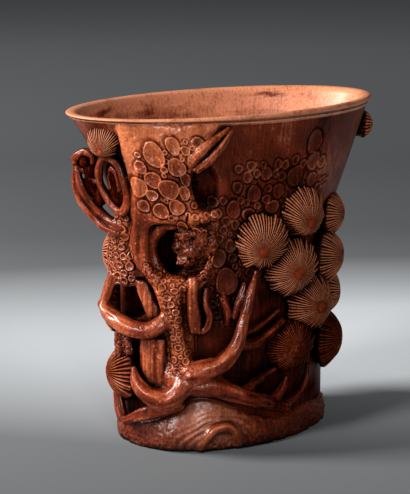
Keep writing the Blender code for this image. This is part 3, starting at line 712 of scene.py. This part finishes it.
def read_map(chart, angle, height):
    """Values of a map at places, smoothly between its cells."""
    column = (angle / MAP_STEP_DEGREES) % MAP_SHAPE[1]
    row = np.clip(height / MAP_STEP, 0.0, MAP_SHAPE[0] - 1.001)
    left = np.floor(column).astype(int)
    low = np.floor(row).astype(int)
    across = column - left
    up = row - low
    left = left % MAP_SHAPE[1]
    right = (left + 1) % MAP_SHAPE[1]
    below = chart[low, left] * (1.0 - across) + chart[low, right] * across
    above = chart[low + 1, left] * (1.0 - across) + chart[low + 1, right] * across
    return below * (1.0 - up) + above * up


def bark_at(angle, height):
    return read_map(BARK, angle, height)


def branch_line(route, closed=False):
    """Points along the middle of a branch, the way out from the wall there, and its radii."""
    knots = spline(route, closed)
    return on_wall(*knots.T[:3]), wall_outward(knots[:, 0], knots[:, 1]), knots[:, 3]


def along_branch(points, centres, outwards, radii):
    """How far points lie outside a branch, where they are among its fibres, and its radius beside them."""
    best = np.full(len(points), 2.0 * FAR)
    fibre = np.zeros((len(points), 3))
    thick = np.ones(len(points))
    passed = 0.0
    for place in range(len(centres) - 1):
        span = centres[place + 1] - centres[place]
        length = max(np.linalg.norm(span), 1e-6)
        offset = points - centres[place]
        share = np.clip(offset @ span / length**2, 0.0, 1.0)
        radius = radii[place] + (radii[place + 1] - radii[place]) * share
        away = offset - share[:, None] * span
        reach = np.linalg.norm(away, axis=1)
        closer = reach - radius < best
        best = np.where(closer, reach - radius, best)
        side = np.cross(span / length, outwards[place])
        around = np.stack([away @ side, away @ outwards[place]]) * FIBRES / np.maximum(reach, 1e-6)
        here = np.stack([FIBRE_STRETCH * (passed + share * length), *around], axis=1)
        fibre = np.where(closer[:, None], here, fibre)
        thick = np.where(closer, radius, thick)
        passed += length
    return best, fibre, thick


def tube(route, closed=False, bark=0.0):
    """The field of a round branch along a route of angle, height, lift and radius, with fibres along it."""
    centres, outwards, radii = branch_line(route, closed)
    low = (centres - radii[:, None]).min(axis=0) - FAR
    high = (centres + radii[:, None]).max(axis=0) + FAR

    def field(points, places):
        near = np.all((points > low) & (points < high), axis=1)
        best, fibre, thick = along_branch(points[near], centres, outwards, radii)
        best -= FIBRE_DEPTH * thick * noise(fibre, 1.0, 6)
        if bark:
            best -= bark * bark_at(places[0][near], places[1][near])
        distances = np.full(len(points), 2.0 * FAR)
        distances[near] = best
        return distances

    return field


def fibre_tone(route, points):
    """Light and dark streaks along a branch, from -1 to 1."""
    _, fibre, _ = along_branch(points, *branch_line(route))
    return noise(fibre, 1.0, 6) + 0.5 * noise(2.0 * fibre, 1.0, 7)


def slab(rows, bark=1.0, edge=0.5, drop=0.3, flutes=0.0):
    """The field of a broad member through rows of height, left and right angle, and lift."""
    knots = spline(rows)
    knots = knots[np.argsort(knots[:, 0])]

    def field(points, places):
        angle, height, lift = places
        left, right, proud = (np.interp(height, knots[:, 0], column) for column in knots.T[1:])
        speed = mm_per_degree(angle, height)
        past_left = turned_by(left, angle) * speed
        past_right = turned_by(angle, right) * speed
        across = turned_by(angle, left) / (right - left)
        crown = 1.0 - drop * np.abs(np.clip(2.0 * across - 1.0, -1.0, 1.0)) ** 3
        top = proud * crown + bark * bark_at(angle, height)
        if flutes:
            top += flutes * noise(np.stack([angle * 0.56, height * 0.06, lift * 0.0], axis=1), 1.3, 5)
        outside = smooth_max(lift - top, np.maximum(past_left, past_right), edge)
        outside = smooth_max(outside, np.maximum(height - knots[-1, 0], knots[0, 0] - height), edge)
        return np.maximum(outside, -lift - SINK)

    return field


def lumps(shapes, bark=1.0):
    """The field of rounded lumps that run together."""

    def field(points, places):
        total = None
        for angle, height, lift, along, up, out in shapes:
            offset = points - on_wall(angle, height, lift)
            outward = wall_outward(angle, height)
            across = np.cross((0.0, 0.0, 1.0), outward)
            scaled = np.stack([offset @ across / along, offset[:, 2] / up, offset @ outward / out], axis=1)
            distance = (np.linalg.norm(scaled, axis=1) - 1.0) * min(along, up, out)
            total = distance if total is None else smooth_min(total, distance, 0.6)
        return total - bark * bark_at(places[0], places[1])

    return field


def joined(fields, radius):
    def field(points, places):
        total = fields[0](points, places)
        for other in fields[1:]:
            total = smooth_min(total, other(points, places), radius)
        return total

    return field


def mound_share(angle):
    return bell(turned_by(angle, MOUND_ANGLE), MOUND_WIDTH)


def foot_top(angle):
    turn = np.radians(angle)
    ripple = np.sin(5.0 * turn) + 0.6 * np.sin(11.0 * turn + 1.0)
    return FOOT_HEIGHT + MOUND_HEIGHT * mound_share(angle) + FOOT_ROUGHNESS * ripple


def mound_grain(points, angle, height):
    """Lines of grain that flow round the arch on the mound, from -1 to 1."""
    reach = np.hypot(mm_past(angle, height, ARCH_ANGLE), 1.3 * height) + 0.9 * noise(points, 5.0, 3)
    folds = 0.15 + 0.85 * bell(reach - FOLD_REACH, 3.0)
    lines = np.sin(2.0 * math.pi * reach / GRAIN_SPACING) * smooth_step(6.0, 8.0, reach)
    return mound_share(angle) * lines * folds


def arch_fill(angle, height):
    """How far a place lies inside the arch, from 0 to 1."""
    return 1.0 - smooth_step(4.0, 7.0, np.hypot(mm_past(angle, height, ARCH_ANGLE), height))


def rock_foot(points, places):
    """The field of the rocks round the bottom."""
    angle, height, lift = places
    top = foot_top(angle)
    rough = FOOT_ROUGHNESS * np.sin(7.0 * np.radians(angle))
    bulge = FOOT_BULGE + MOUND_BULGE * mound_share(angle) + rough
    share = np.clip(height / top, 0.0, 1.0)
    profile = FOOT_SPREAD + (bulge - FOOT_SPREAD) * np.sin(math.pi * share**0.6)
    specks = noise(points, 0.8, 9) * (1.0 - mound_share(angle) + arch_fill(angle, height))
    surface = lift - profile - 0.16 * mound_grain(points, angle, height) - 0.24 * specks
    outside = smooth_max(surface, height - top, 1.6)
    return np.maximum(np.maximum(outside, -height), -lift - SINK)


def rough_heart(points, places):
    """The field of the rough wood in the hollow."""
    return lumps(HEART_LUMPS, bark=0.3)(points, places) + layered_noise(points, HEART_ROUGHNESS)


def boughs():
    """The fields of branches, loops and the handle."""
    fields = {name: tube(route, bark=RINGED.get(name, 0.0)) for name, route in BRANCHES.items()}
    for name, route in LOOPS.items():
        loop = [tube([(*place, LOOP_SWELL * radius) for *place, radius in route], closed=True)]
        # Dark lumps fill the loops and back the strut of the handle, standing for shade, and are painted
        # darkest
        if name in PAINTED_SHADE_WEBS:
            loop.append(lumps(PAINTED_SHADE_WEBS[name], bark=0.0))
        fields[name] = joined(loop, 0.3)
    fields["side_loop"] = joined([tube(SIDE_LOOP, bark=0.25), lumps(LOOP_KNOB, bark=0.0)], 1.0)
    strands = [tube(route) for route in HANDLE_STRANDS] + [lumps(PAINTED_SHADE_WEBS["handle_strut"], bark=0.0)]
    fields["handle_strut"] = joined(strands, 0.3)
    return fields


def trunk_parts():
    """The fields of the trunk, its hollow, its stumps and its split wood."""
    fields = {"broken_stub": joined([tube(lobe) for lobe in STUB_LOBES], 0.25)}
    fields["small_stub"] = lumps(SMALL_STUB_LUMPS, bark=0.35)
    burl = [tube(BURL_BAND), tube(BURL_LIP, bark=0.6), tube(BURL_FUNNEL, bark=0.4), lumps(BURL_SHOULDER)]
    fields["burl_ring"] = joined(burl, 1.2)
    for name in PLANKS:
        fields[name] = slab(SLABS[name], bark=0.0, edge=0.9, drop=0.25, flutes=0.17)
    fields["trunk_upper"] = joined([slab(SLABS["trunk_upper"], edge=1.4), tube(BAND_ABOVE)], 1.6)
    left = [slab(SLABS["trunk_left"], edge=1.4), slab(LEFT_GROUND, bark=0.3, edge=1.2)]
    fields["trunk_left"] = joined(left, 0.8)
    ground = slab(TRUNK_GROUND, bark=0.3, edge=1.2)
    base = [slab(SLABS["trunk_centre"], edge=1.4), lumps(ROOT_LUMPS, bark=0.2), ground, tube(BAND_BELOW)]
    fields["trunk_centre"] = joined(base, 1.4)
    fields["burl_heart"] = rough_heart
    return fields


def carved_members():
    """Each carved member's field and the slot of its finish."""
    members = {"rock_foot": (rock_foot, "foot")}
    members.update((name, (field, "bough")) for name, field in boughs().items())
    members.update((name, (field, "trunk")) for name, field in trunk_parts().items())
    return members


MEMBERS = carved_members()


def node_box(name):
    low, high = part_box(name)
    return np.array(low) / MM, np.array(high) / MM


def neighbours_of(name, margin):
    low, high = node_box(name)
    found = []
    for other in MEMBERS:
        other_low, other_high = node_box(other)
        if other != name and np.all(other_low < high + margin) and np.all(other_high > low - margin):
            found.append(other)
    return found


def member_shape(name, neighbours):
    """The field of one member where it runs into its neighbours, cut off where they take over."""
    radius, skirt = JOINS[name]

    def shape(points):
        places = places_of(points)
        waves = layered_noise(points, WAVES)
        chips = layered_noise(points, CHIPS)

        def worn(member):
            field, slot = MEMBERS[member]
            return field(points, places) + waves + CHIPPED[slot] * chips

        distance = worn(name)
        total = distance
        nearest = np.full(len(points), 2.0 * FAR)
        for other in neighbours:
            other_distance = worn(other)
            total = smooth_min(total, other_distance, min(radius, JOINS[other][0]))
            nearest = np.minimum(nearest, other_distance)
        ground = places[2] - wall_bark(places[0], places[1]) + WALL_GAP
        total = smooth_min(total, ground, skirt)
        parted = np.maximum(0.5 * (distance - nearest) - SEAM_OVERLAP, distance - SKIRT_REACH * skirt)
        return np.maximum(np.maximum(total, parted), -places[2] - SINK)

    return shape


def grid_cells(counts):
    """Rows of three indices, one for each cell of a grid."""
    axes = [np.arange(count) for count in counts]
    return np.stack(np.meshgrid(*axes, indexing="ij"), axis=-1).reshape(-1, 3)


def sample(shape, low, high):
    """Values of a field on a grid, worked out only in blocks near its surface."""
    side = BLOCK * VOXEL
    blocks = np.ceil((high - low) / side).astype(int)
    index = grid_cells(blocks)
    centres = low + (index + 0.5) * side
    coarse = shape(centres)
    values = np.where(coarse > 0.0, FAR, -FAR).reshape(blocks)
    for axis in range(3):
        values = np.repeat(values, BLOCK, axis=axis)
    close = index[np.abs(coarse) < NEAR_BLOCKS * side + NEAR_SLACK]
    steps = grid_cells([BLOCK] * 3)
    cells = (close[:, None, :] * BLOCK + steps[None]).reshape(-1, 3)
    fine = shape(low + (cells + 0.5) * VOXEL)
    values[cells[:, 0], cells[:, 1], cells[:, 2]] = np.clip(fine, -FAR, FAR)
    return values


def set_values(mesh, name, values):
    """Keeps a value at each point of a mesh for its material."""
    mesh.attributes.new(name, "FLOAT", "POINT").data.foreach_set("value", values.astype(np.float32))


def mesh_object(name, points, quads, relief):
    """A new object from points in millimetres, rows of four corners and how light each point is painted, by
    wear and by painted shade.
    """
    name = f"{name}_carving"
    mesh = bpy.data.meshes.new(name)
    mesh.vertices.add(len(points))
    mesh.vertices.foreach_set("co", (np.asarray(points) * MM).astype(np.float32).ravel())
    mesh.loops.add(quads.size)
    mesh.loops.foreach_set("vertex_index", quads.astype(np.int32).ravel())
    mesh.polygons.add(len(quads))
    mesh.polygons.foreach_set("loop_start", np.arange(0, quads.size, 4, dtype=np.int32))
    mesh.update(calc_edges=True)
    mesh.validate()
    mesh.shade_smooth()
    set_values(mesh, "relief", relief)
    made = bpy.data.objects.new(name, mesh)
    bpy.context.scene.collection.objects.link(made)
    return made


def finish_piece(piece, node_name, material):
    piece.data.materials.append(material)
    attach(piece, "root")
    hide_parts(node_name)


def carve(name):
    """The mesh of one carved member."""
    low, high = node_box(name)
    shape = member_shape(name, neighbours_of(name, NODE_MARGIN))
    low = low - NODE_MARGIN
    high = high + NODE_MARGIN
    if name == "rock_foot":
        low[2] = -UNDERSIDE_MARGIN
    grid = openvdb.FloatGrid(FAR)
    grid.copyFromArray(sample(shape, low, high).astype(np.float32))
    points, quads = grid.convertToQuads(isovalue=0.0)
    points = low + (points + 0.5) * VOXEL
    points[:, 2] = np.maximum(points[:, 2], 0.0)
    return mesh_object(name, points, quads, member_relief(name, points))


def low_right_shade(angle, height):
    """How far the wood is painted darker low on the right of the cup, as the shade that falls there."""
    return within(angle, *LOW_RIGHT_SHADE_ANGLES) * (1.0 - smooth_step(*LOW_RIGHT_SHADE_HEIGHTS, height))


def member_relief(name, points):
    """How light a member is painted at its points, from 0 in cracks to 1 on ridges: its wear, with painted
    light and shade in places.
    """
    places = places_of(points)
    angle, height, _ = places
    ringed = read_map(BARK_WEAR, angle, height) - 0.5
    relief = np.full(len(points), MEMBER_WEAR + LIGHTER.get(name, 0.0))
    if name == "rock_foot":
        # Painted light: the mound is painted lighter, as the light and sheen on it, fading darker towards its
        # right, as shade
        relief = 0.34 + 0.46 * mound_share(angle) * (1.0 - smooth_step(250.0, 278.0, angle))
        relief += 0.14 * mound_grain(points, angle, height)
        relief += arch_fill(angle, height) * (0.16 + 0.4 * noise(points, 1.0, 8))
    elif name == "burl_heart":
        relief += 0.26 * noise(points, 0.9, 16)
    elif name in PLANKS:
        relief += 0.26 * noise(np.stack([angle * 1.1, height * 0.10, 0.0 * angle], axis=1), 1.0, 15)
    elif name == "trunk_upper":
        smooth_edge = (1.0 - smooth_step(208.0, 217.0, angle)) * smooth_step(84.0, 96.0, height)
        relief += 0.9 * ringed + 0.36 * smooth_edge + 0.34 * smooth_step(94.0, 103.0, height)
    elif MEMBERS[name][1] == "trunk" and name != "broken_stub":
        relief += RING_WEAR * ringed
    if name in STREAKED:
        relief += FIBRE_TONE * fibre_tone(STREAKED[name], points)
    if name in PAINTED_SHADE_WEBS:
        # Painted shade: the dark lumps behind the handle take the darkest tone
        relief = np.where(lumps(PAINTED_SHADE_WEBS[name], bark=0.0)(points, places) < 0.4, 0.0, relief)
    # Painted shade low on the right, less of it on the foot
    low_right_depth = 0.10 if name == "rock_foot" else LOW_RIGHT_SHADE_DEPTH
    return np.clip(relief - low_right_depth * low_right_shade(angle, height), 0.0, 1.0)


def grid_quads(rows, columns, close_rows=False):
    """Corners of the faces between the rows of a grid whose columns run round."""
    row = np.arange(rows if close_rows else rows - 1)[:, None]
    column = np.arange(columns)[None]
    following = (column + 1) % columns
    below = row * columns
    above = (row + 1) % rows * columns
    corners = [below + column, below + following, above + following, above + column]
    return np.stack(np.broadcast_arrays(*corners), axis=-1).reshape(-1, 4)


def wall_angles():
    """Angles round the wall, closer together where its bark shows."""
    angles = [0.0]
    while angles[-1] < 360.0:
        fine = WALL_FINE_ANGLES[0] < angles[-1] < WALL_FINE_ANGLES[1]
        step = WALL_FINE_STEP if fine else WALL_STEP
        angles.append(angles[-1] + step / mm_per_degree(angles[-1], WALL_STEP_HEIGHT))
    return np.array(angles[:-1])


def wall_bark(angle, height):
    """The bark on the front of the wall, with the hollows sunk in it."""
    share = WALL_BARK_SHARE * within(angle, *FRONT_ANGLES) * (1.0 - smooth_step(*WALL_BARK_TOP, height))
    bark = share * bark_at(angle, height)
    for *patch, depth in HOLLOWS:
        bark -= depth * (1.0 - smooth_step(*HOLLOW_EDGE, patch_reach(angle, height, patch)))
    return bark


def wall_thickness(height):
    share = np.clip((height - FLARE_START) / (CUP_HEIGHT - FLARE_START), 0.0, 1.0)
    return WALL_THICKNESS + (LIP_THICKNESS - WALL_THICKNESS) * share


def lip_share(angle):
    """How deep the lip is beside its full depth: it thins towards the left of the front."""
    return 1.0 - LIP_THINNING * bell(turned_by(angle, LIP_THIN_ANGLE), LIP_THIN_WIDTH)


def wall_relief(points, angle, height, outside):
    """How light the wall is painted: worn and mottled, with painted shade deeper inside, low on the outside
    and in the hollows; the first points are outside, and the others are on the lip and inside.
    """
    # Painted shade: the inside darkens below the lip
    relief = 1.06 - 0.34 * (1.0 - smooth_step(99.0, 108.6, height))
    relief += 0.20 * noise(points, 8.0, 21) + 0.20 * noise(points * (1.0, 1.0, 3.0), 3.0, 22)
    # Dark patches inside: painted shade under the left of the lip, and a stain
    for *patch, depth in INSIDE_SHADE_AND_STAINS:
        reach = patch_reach(angle, height, patch) + 0.6 * noise(points * (1.0, 1.0, 2.0), 2.2, 23)
        relief -= depth * (1.0 - smooth_step(0.4, 1.1, reach))
    ringed = np.where(angle > FRONT_ANGLES[0], read_map(BARK_WEAR, angle, height) - 0.5, 0.0)
    # Painted shade: the outside is darker towards the bottom
    bare = 0.10 + 0.20 * smooth_step(44.0, 70.0, height) + 0.04 * smooth_step(99.0, 107.0, height)
    bare += 0.7 * ringed + 0.14 * noise(points, 7.0, 24)
    # Painted shade in the hollows sunk in the wall
    bare -= 0.2 * np.clip(-wall_bark(angle, height) - 0.5, 0.0, 2.0)
    return np.clip(np.where(np.arange(len(points)) < outside, bare, relief), 0.0, 1.0)


def cup_wall():
    """The vessel: its outside with bark, beaded lip, smooth inside and the rebate of the floor."""
    angle = wall_angles()
    plain = np.arange(0.0, WALL_PLAIN_TOP, WALL_PLAIN_STEP)
    outer = np.concatenate([plain, np.arange(WALL_PLAIN_TOP, LIP[0][0], WALL_FINE_STEP)])
    rows = [(height, wall_bark(angle, np.full_like(angle, height))) for height in outer]
    for height, lift in spline(LIP)[::2]:
        rows.append((CUP_HEIGHT - (CUP_HEIGHT - height) * lip_share(angle), np.full_like(angle, lift)))
    seat = FLOOR_THICKNESS + SEAT_GAP
    under_lip = np.arange(LIP[-1][0] - LIP_INNER_STEP, LIP_INNER_END, -LIP_INNER_STEP)
    for height in np.concatenate([under_lip, np.linspace(INSIDE_TOP, seat, INSIDE_ROWS)]):
        rows.append((height, np.full_like(angle, -wall_thickness(height))))
    rows += [(height, np.full_like(angle, FLOOR_REBATE - WALL_THICKNESS)) for height in (seat, 0.0)]
    points = np.concatenate([on_wall(angle, height, lift) for height, lift in rows])
    places = np.stack([np.tile(angle, len(rows)), points[:, 2]])
    relief = wall_relief(points, *places, (len(outer) + 2) * len(angle))
    return mesh_object("cup_wall", points, grid_quads(len(rows), len(angle), close_rows=True), relief)


def floor_plug():
    """The floor in its rebate, dished on top."""
    angle = np.linspace(0.0, 360.0, 160, endpoint=False)
    inset = -WALL_THICKNESS + FLOOR_REBATE - SEAT_GAP
    sections = [(0.0, inset - 6.0), (0.0, inset - 0.4), (0.4, inset), (FLOOR_THICKNESS, inset)]
    for share in np.linspace(0.0, 1.0, 8):
        dish = FLOOR_DISH * math.sin(0.5 * math.pi * share)
        sections.append((FLOOR_THICKNESS - dish, -WALL_THICKNESS - SEAT_GAP - FLOOR_DISH_WIDTH * share))
    rings = [on_wall(angle, height, lift) for height, lift in sections]
    points = np.concatenate(rings)
    quads = grid_quads(len(rings), len(angle))
    made = mesh_object("floor_plug", points, quads, np.full(len(points), 0.5))
    close_ends(made.data)
    return made


def close_ends(mesh):
    """Fills the open rings of a mesh."""
    bm = bmesh.new()
    bm.from_mesh(mesh)
    bmesh.ops.holes_fill(bm, edges=[edge for edge in bm.edges if edge.is_boundary])
    bmesh.ops.recalc_face_normals(bm, faces=bm.faces[:])
    bm.to_mesh(mesh)
    bm.free()
    mesh.shade_smooth()


def cluster_place(angle, height, lift, turn):
    """Where a needle cluster sits: X level along the wall, Y up and Z outward, turned about the upright."""
    outward = Vector(wall_outward(angle, height))
    outward = Matrix.Rotation(math.radians(turn), 3, "Z") @ outward
    up = Vector((0.0, 0.0, 1.0))
    return np.array((up.cross(outward), up, outward)).T, on_wall(angle, height, lift)[0]


def needle_sections(radius, lift):
    """Rings of a cluster from bud to stalk: share of the radius, level, and how deep the needles are cut."""
    shares = np.concatenate([[0.03, 0.07, 0.11, 0.14], np.linspace(0.17, 1.0, 24)])
    dome = radius * NEEDLE_DOME_SHARE
    sections = [(share, dome * (1.0 - share**2.6), 1.0) for share in shares]
    sections += [(1.01, -0.35, 1.0), (0.985, -0.75, 0.9), (0.94, -1.1, 0.5)]
    return sections + [(NEEDLE_STALK_SHARE, -lift - SINK, 0.0)]


def needle_cluster(number, cluster):
    """A domed disc of needles that spread from a bud, each a rounded ridge with a free tip."""
    angle, height, lift, radius, turn, meet_right, meet_up = cluster
    radius = DISC_SPREAD * radius
    random = np.random.default_rng(100 + number)
    needles = COARSE_NEEDLES if number in COARSE_CLUSTERS else int(radius * NEEDLES_PER_MM)
    columns = needles * SAMPLES_PER_NEEDLE
    lengths = np.repeat(random.uniform(*NEEDLE_LENGTHS, needles), SAMPLES_PER_NEEDLE)
    swell = np.repeat(random.uniform(*NEEDLE_SWELLS, needles), SAMPLES_PER_NEEDLE)
    across = (np.arange(columns) % SAMPLES_PER_NEEDLE) / SAMPLES_PER_NEEDLE
    ridge = np.abs(np.sin(math.pi * across)) ** 1.1
    around = 2.0 * math.pi * np.arange(columns) / columns
    share, level, fluted = np.array(needle_sections(radius, lift)).T[:, :, None]
    cut = fluted * smooth_step(0.12, 0.3, share)
    depth = NEEDLE_FLUTE_DEPTH * cut * 2.0 * math.pi * radius * share / needles
    reach = radius * share * (1.0 + (lengths - 1.0) * smooth_step(0.6, 1.0, share) * cut)
    pull = np.where(level > 0.0, radius * (1.0 - share), 0.0)
    right = np.cos(around) * reach + meet_right * pull
    up = np.sin(around) * reach + meet_up * pull
    out = level + BUD_HEIGHT * bell(share, BUD_SHARE) + depth * (ridge - 1.0 + swell)
    axes, origin = cluster_place(angle, height, lift, turn)
    points = np.stack([right, up, out], axis=-1).reshape(-1, 3) @ axes.T + origin
    worn = np.where(cut > 0.05, (1.1 * ridge**1.7 + swell + 0.06) * cut, NEEDLE_STALK_WEAR)
    # Some clusters are darker in tone, and those low on the right are painted darker still, as shade
    dulled_and_shaded = DULL_CLUSTERS.get(number, 1.0) * (1.0 - NEEDLE_LOW_RIGHT_SHADE * low_right_shade(angle, height + 8.0))
    relief = np.clip(dulled_and_shaded * worn, 0.0, 1.0).ravel()
    made = mesh_object(f"needle_{number:02d}", points, grid_quads(len(share), columns), relief)
    hub = dulled_and_shaded * NEEDLE_HUB_STRENGTH * bell(share, NEEDLE_HUB_SHARE)
    set_values(made.data, "hub", np.repeat(hub, columns))
    close_ends(made.data)
    return made


def set_inputs(tree, node, inputs):
    """Puts values or links on the inputs of a shader node."""
    for socket, value in inputs:
        if isinstance(value, bpy.types.NodeSocket):
            tree.links.new(value, node.inputs[socket])
        else:
            node.inputs[socket].default_value = value


def add_node(tree, kind, inputs=(), **settings):
    made = tree.nodes.new(f"ShaderNode{kind}")
    for key, value in settings.items():
        setattr(made, key, value)
    set_inputs(tree, made, inputs)
    return made


def new_material(name):
    """A material, its tree of nodes and its shader."""
    made = bpy.data.materials.new(name)
    made.use_nodes = True
    return made, made.node_tree, made.node_tree.nodes["Principled BSDF"]


def math_node(tree, operation, first, second):
    return add_node(tree, "Math", [(0, first), (1, second)], operation=operation).outputs[0]


def ramp(tree, factor, stops):
    made = add_node(tree, "ValToRGB", [("Fac", factor)])
    elements = made.color_ramp.elements
    while len(elements) < len(stops):
        elements.new(0.5)
    for element, (position, colour) in zip(elements, stops):
        element.position = position
        element.color = (*colour, 1.0)
    return made.outputs["Color"]


def mix_colour(tree, blend, factor, first, second):
    inputs = [(0, factor), (6, first), (7, second)]
    return add_node(tree, "Mix", inputs, data_type="RGBA", blend_type=blend).outputs[2]


def noise_texture(tree, vector, scale, detail, roughness=0.5):
    inputs = [("Vector", vector), ("Scale", scale), ("Detail", detail), ("Roughness", roughness)]
    return add_node(tree, "TexNoise", inputs).outputs["Fac"]


def about(tree, value, amount, middle=0.0):
    """A value from 0 to 1, spread by an amount about a middle."""
    inputs = [(0, value), (1, amount), (2, middle - 0.5 * amount)]
    return add_node(tree, "Math", inputs, operation="MULTIPLY_ADD").outputs[0]


def wood_textures(tree):
    """Mottle, upright grain, specks and pores, and how far the surface is hidden from afar and close by."""
    place = add_node(tree, "TexCoord").outputs["Object"]
    upright = add_node(tree, "Mapping", [("Vector", place), ("Scale", (1.0, 1.0, 0.07))])
    return {
        "mottle": noise_texture(tree, place, 95.0, 4.0),
        "grain": noise_texture(tree, upright.outputs["Vector"], 1100.0, 3.0),
        "specks": noise_texture(tree, place, 1300.0, 4.0, 0.7),
        "pores": noise_texture(tree, place, 2600.0, 2.0),
        "relief": add_node(tree, "Attribute", attribute_name="relief").outputs["Fac"],
        "point": add_node(tree, "NewGeometry").outputs["Pointiness"],
        "broad": add_node(tree, "AmbientOcclusion", [("Distance", 0.013)], samples=8).outputs["AO"],
        "fine": add_node(tree, "AmbientOcclusion", [("Distance", 0.002)], samples=8).outputs["AO"],
    }


def wood_colour(tree, textures, slot, spots, fleck):
    """Light on worn ridges and dark in cracks, with dark flecks, and painted shade with some patina in the
    hollows and cracks.
    """
    total = textures["relief"]
    for name, amount in (("mottle", 0.9), ("grain", 0.6), ("point", 3.0), ("specks", spots)):
        total = math_node(tree, "ADD", total, about(tree, textures[name], amount))
    colour = ramp(tree, total, list(zip((0.0, 0.45, 1.0), TONES[slot])))
    if slot == "needle":
        near = add_node(tree, "Attribute", attribute_name="hub").outputs["Fac"]
        colour = mix_colour(tree, "MIX", near, colour, NEEDLE_HUB)
    flecks = [(0.36, (fleck, 0.85 * fleck, 0.8 * fleck)), (0.49, WHITE)]
    # Hollows and cracks darken by how hidden they are, partly patina and partly painted shade; the dark
    # flecks are the wood's own
    for name, stops in (("broad", HOLLOW_SHADE), ("fine", CRACK_SHADE), ("specks", flecks)):
        colour = mix_colour(tree, "MULTIPLY", 1.0, colour, ramp(tree, textures[name], stops))
    return colour


def wood(slot):
    """Waxed, carved bamboo in the finish of a slot."""
    roughness, gloss, spots, fleck, coat_roughness = FINISHES[slot]
    made, tree, shader = new_material(f"{slot}_wood")
    textures = wood_textures(tree)
    colour = wood_colour(tree, textures, slot, spots, fleck)
    shine = math_node(tree, "MULTIPLY", textures["broad"], textures["fine"])
    shine = math_node(tree, "MULTIPLY", shine, textures["relief"])
    height = math_node(tree, "ADD", textures["grain"], math_node(tree, "MULTIPLY", textures["pores"], 0.5))
    height = math_node(tree, "ADD", height, math_node(tree, "MULTIPLY", textures["specks"], spots))
    bump = add_node(tree, "Bump", [("Strength", 0.4), ("Distance", 0.0003), ("Height", height)])
    inputs = {
        "Base Color": colour,
        "Specular IOR Level": math_node(tree, "MULTIPLY", shine, 0.4 * gloss),
        "Specular Tint": SHINE_TINT,
        "Coat Weight": math_node(tree, "MULTIPLY", shine, 0.8 * gloss),
        "Coat Roughness": coat_roughness,
        "Roughness": about(tree, textures["mottle"], 0.25, roughness),
        "Normal": bump.outputs["Normal"],
    }
    set_inputs(tree, shader, inputs.items())
    return made


def add_stage():
    """A floor with a painted pool of light beside the object."""
    bpy.ops.mesh.primitive_plane_add(size=12.0)
    floor = bpy.context.object
    floor.name = "floor"
    paper, tree, shader = new_material("floor_paper")
    place = add_node(tree, "TexCoord").outputs["Object"]
    inputs = [("Vector", place), ("Location", POOL_CENTRE), ("Rotation", POOL_TURN), ("Scale", POOL_SHAPE)]
    pool = add_node(tree, "Mapping", inputs, vector_type="TEXTURE").outputs["Vector"]
    distance = add_node(tree, "VectorMath", [(0, pool)], operation="LENGTH").outputs["Value"]
    shade = ramp(tree, distance, [(reach, (0.95 * grey, grey, 1.05 * grey)) for reach, grey in POOL_GREYS])
    set_inputs(tree, shader, [("Base Color", shade), ("Roughness", 0.8)])
    floor.data.materials.append(paper)


def aim(thing, place, target):
    """Puts a lamp or a camera in the scene, turned to a target."""
    thing.location = place
    thing.rotation_euler = (Vector(target) - Vector(place)).to_track_quat("-Z", "Y").to_euler()
    bpy.context.scene.collection.objects.link(thing)


def add_light():
    for name, (place, width, watts, colour) in LAMPS.items():
        data = bpy.data.lights.new(name, "AREA")
        data.shape = "DISK"
        data.size = width
        data.energy = watts
        data.color = colour
        aim(bpy.data.objects.new(name, data), place, LAMP_TARGET)
    world = bpy.data.worlds.new("studio")
    world.use_nodes = True
    background = world.node_tree.nodes["Background"]
    background.inputs["Color"].default_value = SKY_COLOUR
    background.inputs["Strength"].default_value = SKY_STRENGTH
    bpy.context.scene.world = world


def add_camera():
    data = bpy.data.cameras.new("camera")
    data.sensor_width = SENSOR
    data.lens = CAMERA_FOCAL_PIXELS * SENSOR / IMAGE_HEIGHT
    camera = bpy.data.objects.new("camera", data)
    aim(camera, CAMERA_PLACE, CAMERA_TARGET)
    bpy.context.scene.camera = camera


def main():
    finishes = {slot: wood(slot) for slot in FINISHES}
    finish_piece(cup_wall(), "cup_wall", finishes["vessel"])
    finish_piece(floor_plug(), "floor_plug", finishes["floor"])
    for name, (_, slot) in MEMBERS.items():
        finish_piece(carve(name), name, finishes[slot])
    for number, cluster in enumerate(NEEDLES, start=1):
        finish_piece(needle_cluster(number, cluster), f"needle_{number:02d}", finishes["needle"])
    add_stage()
    add_light()
    add_camera()
    bpy.context.scene.view_settings.view_transform = "Standard"


main()
